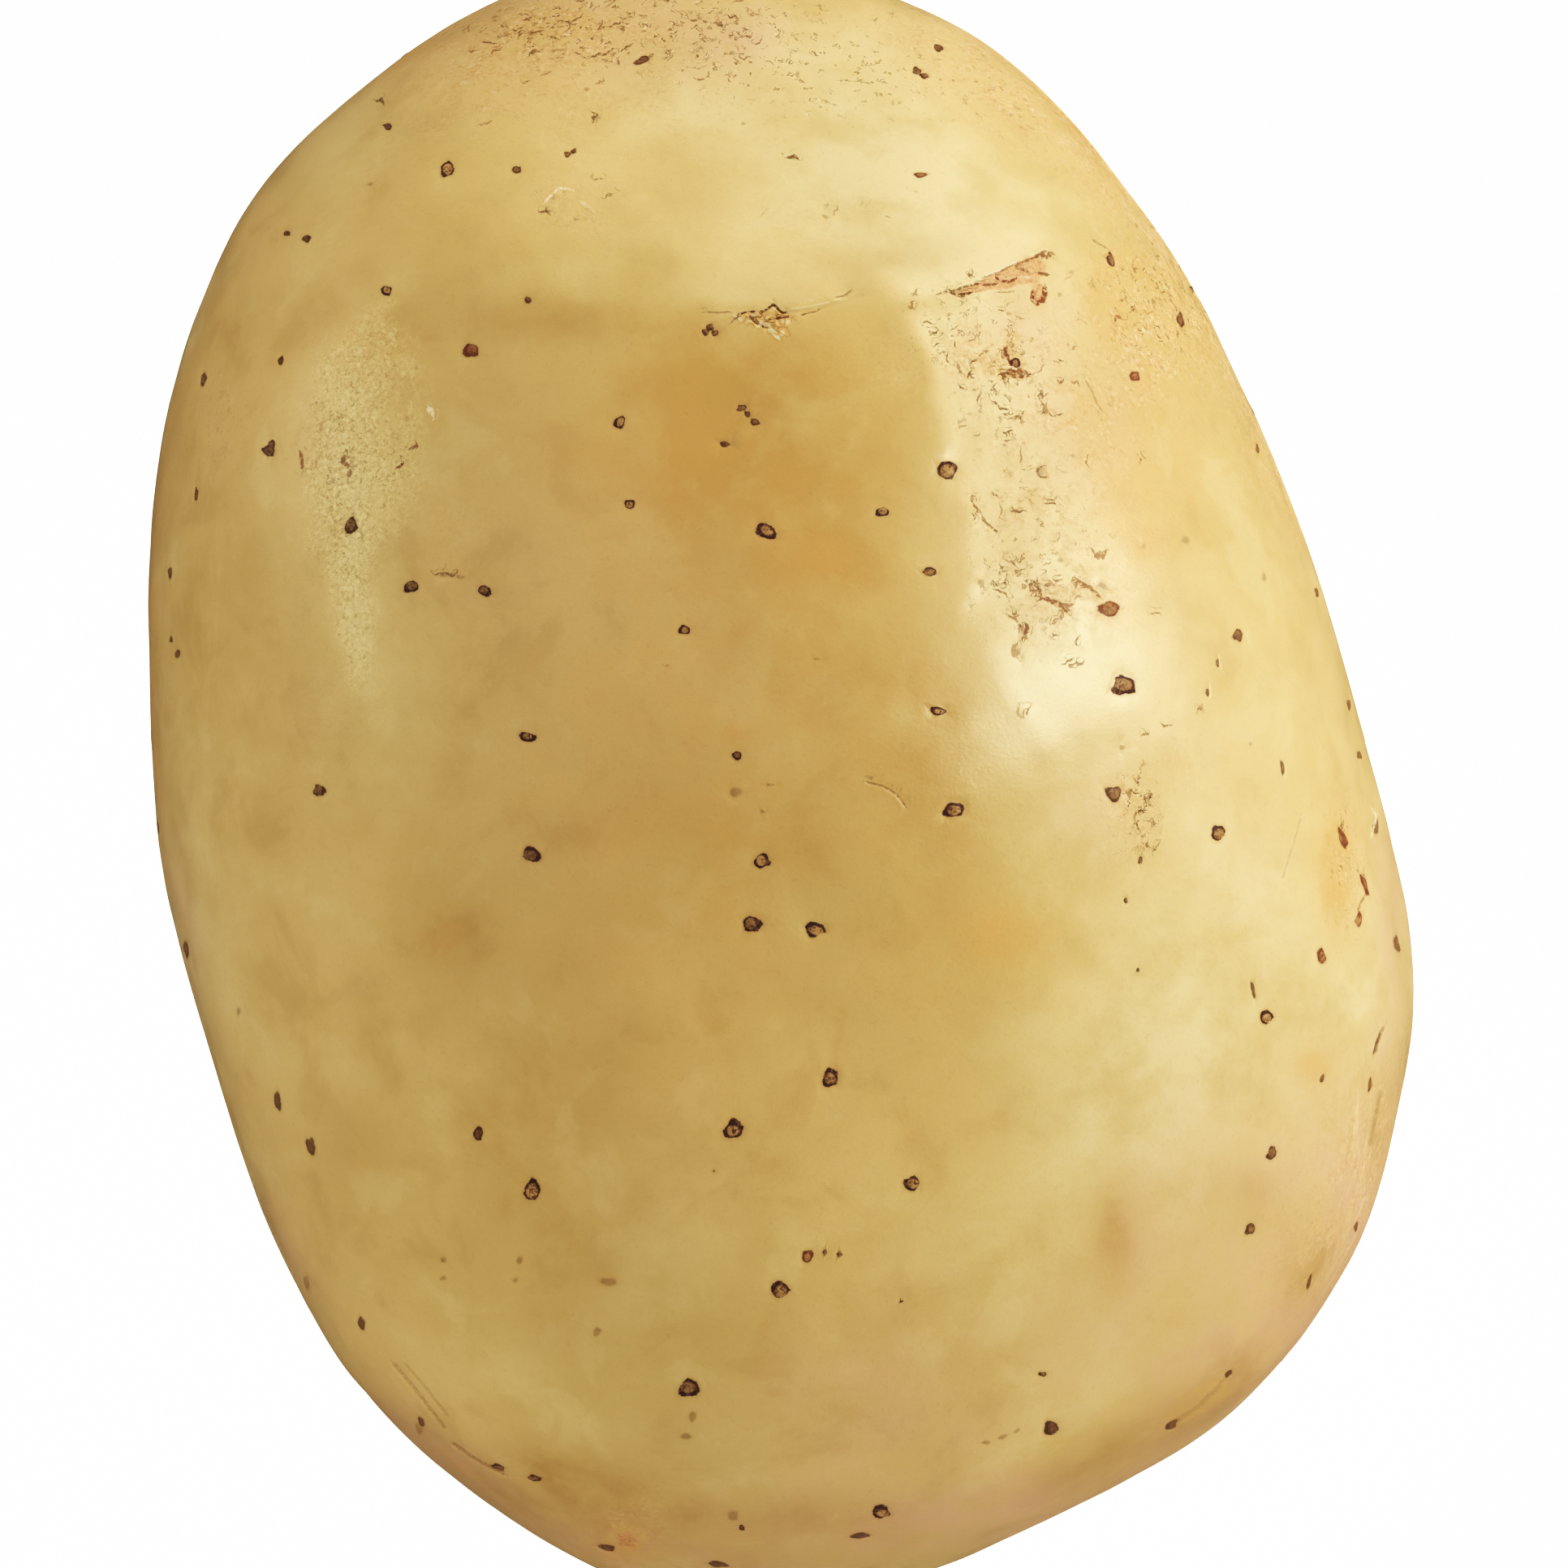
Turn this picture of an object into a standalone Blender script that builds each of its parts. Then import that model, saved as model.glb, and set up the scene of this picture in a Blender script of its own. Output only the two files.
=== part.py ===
# A washed white potato lying on its flattest side: one tuber, grown as one piece, so one solid.
#
# +Y points to the stem end, -Y to the rose end, +X is the right flank seen from above, +Z is up.
# The origin is on the surface under the tuber, below the middle of its box.

import math

import bmesh
import bpy
from mathutils import Vector, noise

MM = 0.001

# Driving dimensions of the finished tuber
LENGTH = 101.5 * MM
WIDTH = 78.0 * MM
THICKNESS = 64.0 * MM

# Form of the body
CROWN_SHARE = 0.52  # part of the thickness that lies above the widest outline
FULLNESS = 2.22  # exponent of the section's superellipse: 2 is an ellipse, more is fuller
CROWN_DRIFT = Vector((-4.0 * MM, -3.0 * MM))  # how far the top leans from the outline's middle
BELLY_DRIFT = Vector((-1.5 * MM, -0.5 * MM))
LUMP_SIZE = 26.0 * MM
LUMP_HEIGHT = 2.2 * MM
LUMP_SEED = Vector((3.7, 1.2, 8.4))
LUMP_RISE = 0.6  # share of the way up, or down, from the outline over which the lumps come in

# The flat spot it rests on
REST_DEPTH = 0.9 * MM  # how much of the belly it takes off
REST_BLEND = 0.25 * MM  # height over which it runs into the round belly

# Widest outline seen from above, anticlockwise, in mm from the middle of its box
OUTLINE = [
    (36.4, 0.2),
    (33.0, 12.2),
    (28.2, 24.2),
    (21.5, 36.2),
    (12.8, 45.2),
    (7.4, 48.3),
    (-5.1, 50.8),
    (-17.5, 48.3),
    (-26.7, 42.2),
    (-32.5, 36.2),
    (-37.6, 24.2),
    (-39.0, 9.2),
    (-38.0, -5.8),
    (-34.9, -17.8),
    (-30.4, -29.8),
    (-24.7, -38.8),
    (-17.4, -44.8),
    (-11.9, -48.4),
    (-1.1, -50.8),
    (9.8, -48.4),
    (17.0, -44.9),
    (27.8, -38.8),
    (35.0, -29.8),
    (37.8, -20.8),
    (39.0, -11.8),
]

# The shoulder: a bend across the crown, past which the surface falls away towards the stem end
SHOULDER_Y = 28.8 * MM
SHOULDER_CURVE = 12.0  # 1/m: how fast the bend runs towards the stem end away from its middle
SHOULDER_X = -1.0 * MM
SHOULDER_REACH = 17.0 * MM  # half its length, where it has faded
SHOULDER_SLOPE = 0.26  # extra fall past the bend
SHOULDER_RUN = 9.0 * MM  # how far past the bend the extra fall goes on
SHOULDER_SOFTNESS = 1.6 * MM
SHOULDER_LEVELS = (0.1, 0.5)  # shares of the way up the crown where it starts and is full

# Eyes: place along Y in mm, angle about Y in degrees (0 is the top, 90 the right flank), half
# the length of the brow, height of the brow over its hollow and width of each, all in mm.
EYES = [
    (28.2, -1.0, 8.0, 0.7, 2.2),
    (31.5, 37.0, 6.0, 0.8, 2.2),
    (-5.5, 79.0, 6.0, 0.6, 2.4),
    (-37.5, -68.0, 7.0, 0.8, 2.4),
    (-37.0, 68.0, 6.0, 0.8, 2.2),
    (-44.0, 150.0, 6.0, 1.0, 2.2),
    (20.0, -128.0, 8.0, 1.1, 2.8),
    (-14.0, -112.0, 8.0, 1.1, 2.8),
    (24.0, 122.0, 7.5, 1.0, 2.6),
    (-20.0, 148.0, 7.5, 1.1, 2.8),
]
BROW_CURVE = 0.035 / MM  # how fast a brow's ends turn towards the stem end
EYE_TAPER = 2.0  # how fast an eye fades towards the ends of its brow
EYE_REACH = 3.0  # an eye moves nothing further away than this many half lengths
EYE_MESH_REACH = 1.15  # the mesh is finer within this many half lengths of an eye

# The scar left by the stolon, at the stem end: a dimple in a low rim
STEM_SCAR_DIRECTION = Vector((-0.12, 1.0, -0.34)).normalized()
STEM_SCAR_WIDTH = 3.2 * MM
STEM_SCAR_DEPTH = 1.5 * MM
STEM_RIM_HEIGHT = 0.4 * MM
STEM_RIM_PLACE = 1.9  # radius of the rim in widths of the dimple

# Mesh
BALL_CUTS = 25  # cuts across each face of the starting cube
NORMAL_STEP = 0.01  # step on the ball of radius 1 that a normal is worked out from
MIDDLE = 1e-9  # closer to the ball's axis than this, a direction has no angle

SKIN_COLOUR = (0.56, 0.36, 0.12, 1.0)
SKIN_ROUGHNESS = 0.45


def clear_scene():
    for obj in list(bpy.data.objects):
        bpy.data.objects.remove(obj, do_unlink=True)


def smooth_step(low, high, value):
    t = min(max((value - low) / (high - low), 0.0), 1.0)
    return t * t * (3.0 - 2.0 * t)


def outline_by_angle():
    """The outline's points as angle about the middle and distance from it, one turn either side too."""
    turn = sorted((math.atan2(y, x) % math.tau, math.hypot(x, y) * MM) for x, y in OUTLINE)
    return [(angle + way * math.tau, radius) for way in (-1, 0, 1) for angle, radius in turn]


OUTLINE_TURNS = outline_by_angle()


def outline_radius(angle):
    """Distance from the middle to the widest outline, through its points as a smooth closed curve."""
    angle %= math.tau
    after = next(i for i, point in enumerate(OUTLINE_TURNS) if point[0] > angle)
    (a0, r0), (a1, r1), (a2, r2), (a3, r3) = OUTLINE_TURNS[after - 2 : after + 2]
    span = a2 - a1
    t = (angle - a1) / span
    start = (r2 - r0) / (a2 - a0) * span
    end = (r3 - r1) / (a3 - a1) * span
    return (
        (2 * t**3 - 3 * t**2 + 1) * r1
        + (t**3 - 2 * t**2 + t) * start
        + (3 * t**2 - 2 * t**3) * r2
        + (t**3 - t**2) * end
    )


def outline_swell(x, y):
    """How much further out the outline is than the plain ellipse, in the direction of (x, y)."""
    angle = math.atan2(y, x)
    ellipse = 1.0 / math.hypot(math.cos(angle) / (WIDTH / 2), math.sin(angle) / (LENGTH / 2))
    return outline_radius(angle) / ellipse


def shoulder_drop(x, y):
    """Extra fall of the crown past the bend that runs across it."""
    bend = SHOULDER_Y + SHOULDER_CURVE * (x - SHOULDER_X) ** 2
    past = (y - bend) / SHOULDER_SOFTNESS
    # A straight ramp past the bend, rounded where it starts.
    ramp = SHOULDER_SOFTNESS * (max(past, 0.0) + math.log1p(math.exp(-abs(past))))
    fall = SHOULDER_RUN * math.tanh(ramp / SHOULDER_RUN)
    across = abs(x - SHOULDER_X) / SHOULDER_REACH
    return SHOULDER_SLOPE * fall * math.exp(-(across**3))


def body_point(direction):
    """The point of the smooth body, without its eyes, in this direction of the starting ball."""
    x, y, z = direction
    plan = math.hypot(x, y)
    px, py = 0.0, 0.0
    if plan > MIDDLE:
        stretch = plan ** (2 / FULLNESS) / plan
        px = x * stretch * WIDTH / 2
        py = y * stretch * LENGTH / 2
        swell = 1.0 + plan**2 * (outline_swell(px, py) - 1.0)
        px *= swell
        py *= swell
    drift = CROWN_DRIFT if z > 0 else BELLY_DRIFT
    px += drift.x * z * z
    py += drift.y * z * z
    share = CROWN_SHARE if z > 0 else CROWN_SHARE - 1.0
    height = THICKNESS * share * abs(z) ** (2 / FULLNESS)
    lump = noise.noise(Vector((px, py, height)) / LUMP_SIZE + LUMP_SEED)
    height += LUMP_HEIGHT * lump * min(abs(z) / LUMP_RISE, 1.0)
    height -= shoulder_drop(px, py) * smooth_step(*SHOULDER_LEVELS, z)
    return Vector((px, py, height))


def body_normal(direction):
    """Outward direction of the body there, from two short steps across it."""
    side = direction.orthogonal().normalized() * NORMAL_STEP
    up = direction.cross(side)
    here = body_point(direction)
    across = body_point((direction + side).normalized()) - here
    along = body_point((direction + up).normalized()) - here
    return across.cross(along).normalized()


def eye_direction(along, around):
    """Direction on the starting ball of a place along Y in mm and an angle about Y in degrees."""
    rise = along * MM / (LENGTH / 2)
    level = math.sqrt(1.0 - rise * rise)
    turn = math.radians(around)
    return Vector((math.sin(turn) * level, rise, math.cos(turn) * level))


class Eye:
    """A shallow hollow under a curved brow, on the body's surface."""

    def __init__(self, along, around, half_length, height, width):
        direction = eye_direction(along, around)
        self.centre = body_point(direction)
        self.normal = body_normal(direction)
        self.across = Vector((0, 1, 0)).cross(self.normal).normalized()
        self.stemward = self.normal.cross(self.across).normalized()
        self.half_length = half_length * MM
        self.height = height * MM
        self.width = width * MM

    def reaches(self, point, half_lengths):
        return (point - self.centre).length < half_lengths * self.half_length

    def push(self, point):
        """How far the eye moves this point: out on the brow, in under it."""
        if not self.reaches(point, EYE_REACH):
            return Vector((0, 0, 0))
        offset = point - self.centre
        along_brow = offset.dot(self.across)
        past_brow = offset.dot(self.stemward) - BROW_CURVE * along_brow**2
        t = past_brow / self.width
        lip = t * math.exp((1.0 - t * t) / 2)
        taper = math.exp(-EYE_TAPER * (along_brow / self.half_length) ** 2)
        return self.normal * (self.height / 2 * lip * taper)


class StemScar:
    """The round dimple at the stem end, with a low rim."""

    def __init__(self):
        self.centre = body_point(STEM_SCAR_DIRECTION)
        self.normal = body_normal(STEM_SCAR_DIRECTION)

    def push(self, point):
        widths = (point - self.centre).length / STEM_SCAR_WIDTH
        dimple = STEM_SCAR_DEPTH * math.exp(-(widths**2))
        rim = STEM_RIM_HEIGHT * math.exp(-2.0 * (widths - STEM_RIM_PLACE) ** 2)
        return self.normal * (rim - dimple)


def starting_ball():
    """A ball of even quads. Each vertex is a direction of unit length."""
    bm = bmesh.new()
    bmesh.ops.create_cube(bm, size=2.0)
    bmesh.ops.subdivide_edges(bm, edges=bm.edges[:], cuts=BALL_CUTS, use_grid_fill=True)
    for vert in bm.verts:
        # Turning each coordinate into an angle spreads the quads evenly over the ball.
        vert.co = Vector([math.tan(c * math.pi / 4) for c in vert.co]).normalized()
    return bm


def refine_at_eyes(bm, eyes):
    close = set()
    for vert in bm.verts:
        point = body_point(vert.co)
        if any(eye.reaches(point, EYE_MESH_REACH) for eye in eyes):
            close.add(vert)
    edges = [edge for edge in bm.edges if close.issuperset(edge.verts)]
    bmesh.ops.subdivide_edges(bm, edges=edges, cuts=1, use_grid_fill=True)
    for vert in bm.verts:
        vert.co.normalize()


def form_tuber(bm, marks):
    for vert in bm.verts:
        point = body_point(vert.co)
        vert.co = point + sum((mark.push(point) for mark in marks), Vector((0, 0, 0)))


def press_rest_spot(bm):
    """Flattens the lowest part of the belly, and eases the surface round it into the flat."""
    floor = min(vert.co.z for vert in bm.verts) + REST_DEPTH
    for vert in bm.verts:
        above = vert.co.z - floor
        if above < -REST_BLEND:
            vert.co.z = floor
        elif above < REST_BLEND:
            vert.co.z = floor + (above + REST_BLEND) ** 2 / (4 * REST_BLEND)


def fit_to_box(bm):
    """Gives the tuber its exact length, width and thickness, standing on Z = 0."""
    low = Vector([min(vert.co[i] for vert in bm.verts) for i in range(3)])
    high = Vector([max(vert.co[i] for vert in bm.verts) for i in range(3)])
    middle = (low + high) / 2
    size = high - low
    scale = Vector((WIDTH / size.x, LENGTH / size.y, THICKNESS / size.z))
    bmesh.ops.translate(bm, verts=bm.verts, vec=(-middle.x, -middle.y, -low.z))
    bmesh.ops.scale(bm, verts=bm.verts, vec=scale)


def skin_material():
    material = bpy.data.materials.new("potato_skin")
    material.use_nodes = True
    shader = material.node_tree.nodes["Principled BSDF"]
    shader.inputs["Base Color"].default_value = SKIN_COLOUR
    shader.inputs["Roughness"].default_value = SKIN_ROUGHNESS
    shader.inputs["Metallic"].default_value = 0.0
    return material


def make_tuber():
    eyes = [Eye(*values) for values in EYES]
    bm = starting_ball()
    refine_at_eyes(bm, eyes)
    form_tuber(bm, [*eyes, StemScar()])
    press_rest_spot(bm)
    fit_to_box(bm)
    bmesh.ops.triangulate(bm, faces=bm.faces[:])
    bmesh.ops.recalc_face_normals(bm, faces=bm.faces[:])
    mesh = bpy.data.meshes.new("potato")
    bm.to_mesh(mesh)
    bm.free()
    mesh.shade_smooth()
    mesh.materials.append(skin_material())
    return bpy.data.objects.new("potato", mesh)


def main():
    clear_scene()
    collection = bpy.data.collections.new("potato")
    bpy.context.scene.collection.children.link(collection)
    collection.objects.link(make_tuber())


main()
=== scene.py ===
import math
import random

import bmesh
import bpy
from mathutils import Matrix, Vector, kdtree, noise
from mathutils.bvhtree import BVHTree


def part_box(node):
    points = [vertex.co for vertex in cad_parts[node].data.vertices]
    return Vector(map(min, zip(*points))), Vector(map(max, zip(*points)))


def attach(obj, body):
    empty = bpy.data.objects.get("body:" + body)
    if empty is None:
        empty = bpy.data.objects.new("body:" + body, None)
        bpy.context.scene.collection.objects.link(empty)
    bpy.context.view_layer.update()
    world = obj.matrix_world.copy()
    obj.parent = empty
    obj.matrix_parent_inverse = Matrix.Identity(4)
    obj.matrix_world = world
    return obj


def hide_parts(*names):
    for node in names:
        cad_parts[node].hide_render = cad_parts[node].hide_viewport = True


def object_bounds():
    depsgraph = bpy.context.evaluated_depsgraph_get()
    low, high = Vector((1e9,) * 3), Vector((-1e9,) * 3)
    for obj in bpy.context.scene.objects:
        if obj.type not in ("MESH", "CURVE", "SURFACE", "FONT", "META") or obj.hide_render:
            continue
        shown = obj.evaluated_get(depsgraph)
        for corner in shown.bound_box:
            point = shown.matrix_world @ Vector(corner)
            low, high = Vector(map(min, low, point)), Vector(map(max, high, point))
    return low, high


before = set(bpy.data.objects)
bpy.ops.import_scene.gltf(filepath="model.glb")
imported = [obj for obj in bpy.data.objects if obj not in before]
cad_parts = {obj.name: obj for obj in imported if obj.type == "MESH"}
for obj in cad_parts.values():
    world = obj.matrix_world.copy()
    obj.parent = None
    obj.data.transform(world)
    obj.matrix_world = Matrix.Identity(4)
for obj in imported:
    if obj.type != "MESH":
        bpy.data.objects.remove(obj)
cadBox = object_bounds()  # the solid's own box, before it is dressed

mm = 0.001

# the photograph's view: straight down, stem end at the top
shot = {
    "side": 1932,  # pixels
    "middle": (964, 963),  # pixel of the potato's middle
    "pixelsPerMm": 20,  # at the height where the outline is widest
    "widestAt": 31 * mm,
    "lens": 200,
    "sensor": 36,
    "justSeen": 0.02,  # how far the skin faces the camera where it can be seen at all
    "plainlySeen": 0.04,  # and where the photograph shows its lenticels
}


def levelPlace(x, y):  # a pixel's place on the level of the widest outline
    across = (x - shot["middle"][0]) / shot["pixelsPerMm"] * mm
    along = (shot["middle"][1] - y) / shot["pixelsPerMm"] * mm
    return Vector((across, along, shot["widestAt"]))


def cameraPlace():
    seenWidth = shot["side"] / shot["pixelsPerMm"] * mm
    place = levelPlace(shot["side"] / 2, shot["side"] / 2)
    place.z += seenWidth * shot["lens"] / shot["sensor"]
    return place


cameraAt = cameraPlace()


def makeCamera():
    data = bpy.data.cameras.new("camera")
    data.lens = shot["lens"]
    data.sensor_width = shot["sensor"]
    data.clip_start = 10 * mm
    data.clip_end = 100
    camera = bpy.data.objects.new("camera", data)
    camera.location = cameraAt
    bpy.context.scene.collection.objects.link(camera)
    bpy.context.scene.camera = camera
    print("camera made")


def pixelOf(point):  # where the camera sees a point, in the photograph's pixels
    spread = (cameraAt.z - shot["widestAt"]) / (cameraAt.z - point.z)
    across = cameraAt.x + (point.x - cameraAt.x) * spread
    along = cameraAt.y + (point.y - cameraAt.y) * spread
    x = shot["middle"][0] + across / mm * shot["pixelsPerMm"]
    y = shot["middle"][1] - along / mm * shot["pixelsPerMm"]
    return Vector((x, y, 0))


def smooth(low, high, value):
    t = min(max((value - low) / (high - low), 0.0), 1.0)
    return t * t * (3 - 2 * t)


# the skin's mesh, laid over the solid
skin = {
    "ballLevels": 7,
    "heart": Vector((0, 0, 32 * mm)),  # the rays to the solid start here
    "easing": 18,  # rounds of smoothing that take out the solid's facets
    "swell": (0.22 * mm, 13 * mm, Vector((2.1, 7.3, 4.4))),  # height, size and place of the waves
    "dimples": (0.07 * mm, 4.6 * mm, Vector((9.2, 1.7, 3.3))),
    "pebbles": (0.022 * mm, 2.0 * mm, Vector((5.5, 8.1, 0.6))),
    "flatBelow": 1.2 * mm,  # the relief fades out towards the flat spot underneath
}


def solidTree():
    copy = bmesh.new()
    copy.from_mesh(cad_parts["potato"].data)
    bmesh.ops.remove_doubles(copy, verts=copy.verts, dist=0.001 * mm)
    tree = BVHTree.FromBMesh(copy)
    copy.free()
    return tree


def laySkin():
    tree = solidTree()
    bm = bmesh.new()
    bmesh.ops.create_icosphere(bm, subdivisions=skin["ballLevels"], radius=1)
    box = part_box("potato")
    for vert in bm.verts:
        half = (box[1] - box[0]) / 2
        aim = Vector((vert.co.x * half.x, vert.co.y * half.y, vert.co.z * half.z))
        vert.co = tree.ray_cast(skin["heart"], aim)[0]
    for _ in range(skin["easing"]):
        bmesh.ops.smooth_vert(
            bm, verts=bm.verts, factor=0.5, use_axis_x=True, use_axis_y=True, use_axis_z=True
        )
    return bm


# what is on the skin. Lenticels, read from the photograph: x, y, width, height, turn
lenticels = {
    "ring": [  # dark rim round a paler heart
        (551, 208, 16, 20, 10), (506, 723, 19, 15, -10), (597, 728, 18, 13, 10), (650, 908, 22, 12, 5),
        (655, 1053, 24, 18, 10), (763, 520, 13, 18, 20), (776, 621, 15, 11, 0), (944, 655, 27, 18, 35),
        (1087, 631, 17, 12, -10), (1146, 704, 19, 11, -5), (843, 776, 15, 12, 0),
        (1156, 876, 21, 11, 10), (908, 931, 12, 11, 0), (1175, 998, 27, 18, 0), (939, 1061, 20, 18, 0),
        (927, 1139, 23, 20, -20), (1004, 1145, 25, 18, 15), (1023, 1328, 20, 23, 5),
        (904, 1392, 24, 24, 0), (1123, 1458, 20, 18, 10), (961, 1589, 22, 21, 40),
        (1086, 1865, 22, 16, 5), (1501, 1026, 18, 19, 20), (1384, 845, 30, 24, 10),
        (1560, 1253, 15, 18, 15), (477, 359, 14, 12, 30), (849, 1710, 26, 22, 0), (655, 1467, 20, 26, 5),
        (1167, 579, 26, 22, 0), (1254, 444, 13, 13, 0),
    ],
    "plug": [  # filled with dark cork
        (477, 155, 11, 9, 10), (636, 207, 13, 9, -15), (699, 188, 9, 7, 10), (707, 184, 8, 6, -30),
        (354, 288, 10, 6, 10), (379, 295, 12, 9, -20), (650, 369, 10, 9, 0), (346, 444, 7, 12, 15),
        (330, 555, 16, 14, 0), (334, 546, 9, 9, 20), (432, 648, 17, 20, 0), (394, 974, 18, 14, 0),
        (914, 502, 13, 8, -10), (921, 510, 9, 7, 60), (930, 520, 13, 9, 10), (893, 547, 14, 7, 10),
        (589, 1397, 13, 17, 5), (613, 1808, 17, 7, 15), (658, 1822, 16, 8, 10), (914, 1883, 7, 7, 0),
        (1017, 1543, 7, 6, 0), (1035, 1546, 7, 7, 0), (1110, 1603, 6, 5, 0), (1295, 1760, 17, 20, -15),
        (1285, 1694, 10, 6, 0), (1540, 1514, 15, 13, -40), (1567, 1421, 12, 18, 25),
        (1525, 783, 12, 16, 0), (1372, 978, 20, 20, 0), (1406, 1060, 6, 10, 0), (1389, 1110, 5, 7, 0),
        (1404, 1196, 5, 5, 0), (1373, 317, 8, 20, -20), (1158, 56, 12, 9, 20), (1131, 83, 12, 9, 30),
        (1140, 89, 12, 7, 20), (791, 73, 20, 9, -20), (1456, 393, 8, 20, -15), (875, 403, 10, 8, 0),
        (869, 409, 9, 8, 20), (881, 410, 9, 8, -20),
    ],
    "slit": [  # the same near the outline, and narrow marks
        (250, 467, 7, 17, 10), (242, 609, 5, 17, 0), (211, 706, 6, 14, 0), (211, 788, 5, 8, 0),
        (219, 806, 8, 11, 0), (341, 1357, 9, 24, -10), (380, 1414, 11, 24, -10), (445, 1631, 9, 17, -20),
        (229, 1170, 6, 22, -10), (748, 1906, 22, 8, 10), (885, 1927, 26, 7, 5), (1060, 1895, 23, 8, -5),
        (881, 1445, 5, 9, 0), (1544, 1219, 5, 23, -10), (1723, 1163, 7, 24, -10), (1689, 1337, 5, 18, 5),
        (1698, 1018, 7, 19, 0), (1580, 946, 5, 20, -10), (1500, 817, 4, 12, 0), (1487, 853, 5, 11, 0),
        (1672, 1512, 5, 14, 10), (1622, 730, 5, 12, -10), (1663, 868, 5, 14, -10),
        (1677, 930, 6, 10, -10), (1550, 553, 5, 12, -10), (1515, 1694, 12, 6, -50),
        (1444, 1757, 19, 8, -30), (1613, 1580, 5, 20, 15), (1629, 1329, 5, 12, 10),
        (1697, 1285, 4, 32, 15), (519, 1752, 7, 14, -20),
    ],
    "red": [
        (1655, 1033, 10, 26, -20), (1682, 1090, 8, 26, -20), (1673, 1133, 9, 18, 10),
        (580, 432, 20, 18, 10), (995, 1548, 14, 17, 0), (1627, 1178, 10, 22, -10),
        (1367, 750, 26, 20, 0), (1402, 461, 14, 12, 20), (1135, 212, 16, 7, 0),
    ],
    "faint": [
        (907, 976, 20, 14, 0), (379, 1580, 8, 20, -10), (517, 1760, 9, 18, -20), (853, 1745, 12, 16, 0),
        (845, 1770, 16, 10, 0), (736, 1640, 12, 14, 0), (545, 1553, 10, 9, 0), (545, 1576, 9, 8, 0),
        (640, 1553, 9, 12, 20), (635, 1577, 9, 8, 0), (750, 1579, 24, 12, 0), (1557, 711, 6, 14, 0),
        (977, 190, 9, 6, 0), (1215, 1777, 14, 6, 0), (1236, 1770, 16, 6, -20), (1253, 1763, 10, 5, -30),
        (1284, 578, 12, 16, 0), (903, 1868, 14, 16, 30), (550, 708, 26, 7, 0), (567, 711, 14, 6, 0),
        (1007, 812, 16, 4, 10), (820, 820, 12, 4, 0), (949, 967, 16, 4, 0), (940, 1000, 10, 5, 0),
        (295, 1246, 6, 12, 0), (734, 143, 7, 9, 0), (468, 122, 7, 6, 0), (656, 64, 7, 6, 0),
        (456, 227, 10, 5, 0), (1360, 722, 18, 9, 20), (1298, 742, 16, 6, 20), (1283, 726, 12, 5, 30),
        (1310, 752, 14, 6, 0), (1258, 775, 7, 14, 0), (1255, 803, 8, 14, 10), (1018, 262, 10, 5, 20),
        (676, 258, 12, 5, 0), (710, 268, 9, 5, 0), (1410, 672, 9, 8, 0), (1462, 665, 12, 12, 0),
        (1381, 921, 10, 8, 0), (1310, 360, 7, 7, 0), (1325, 332, 9, 5, 20), (1325, 560, 9, 6, 0),
        (1210, 718, 10, 14, 0), (1308, 689, 10, 8, 0), (1540, 917, 6, 5, 0), (983, 90, 6, 8, 0),
        (916, 150, 7, 5, 0), (723, 108, 10, 5, 0),
    ],
}
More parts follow.
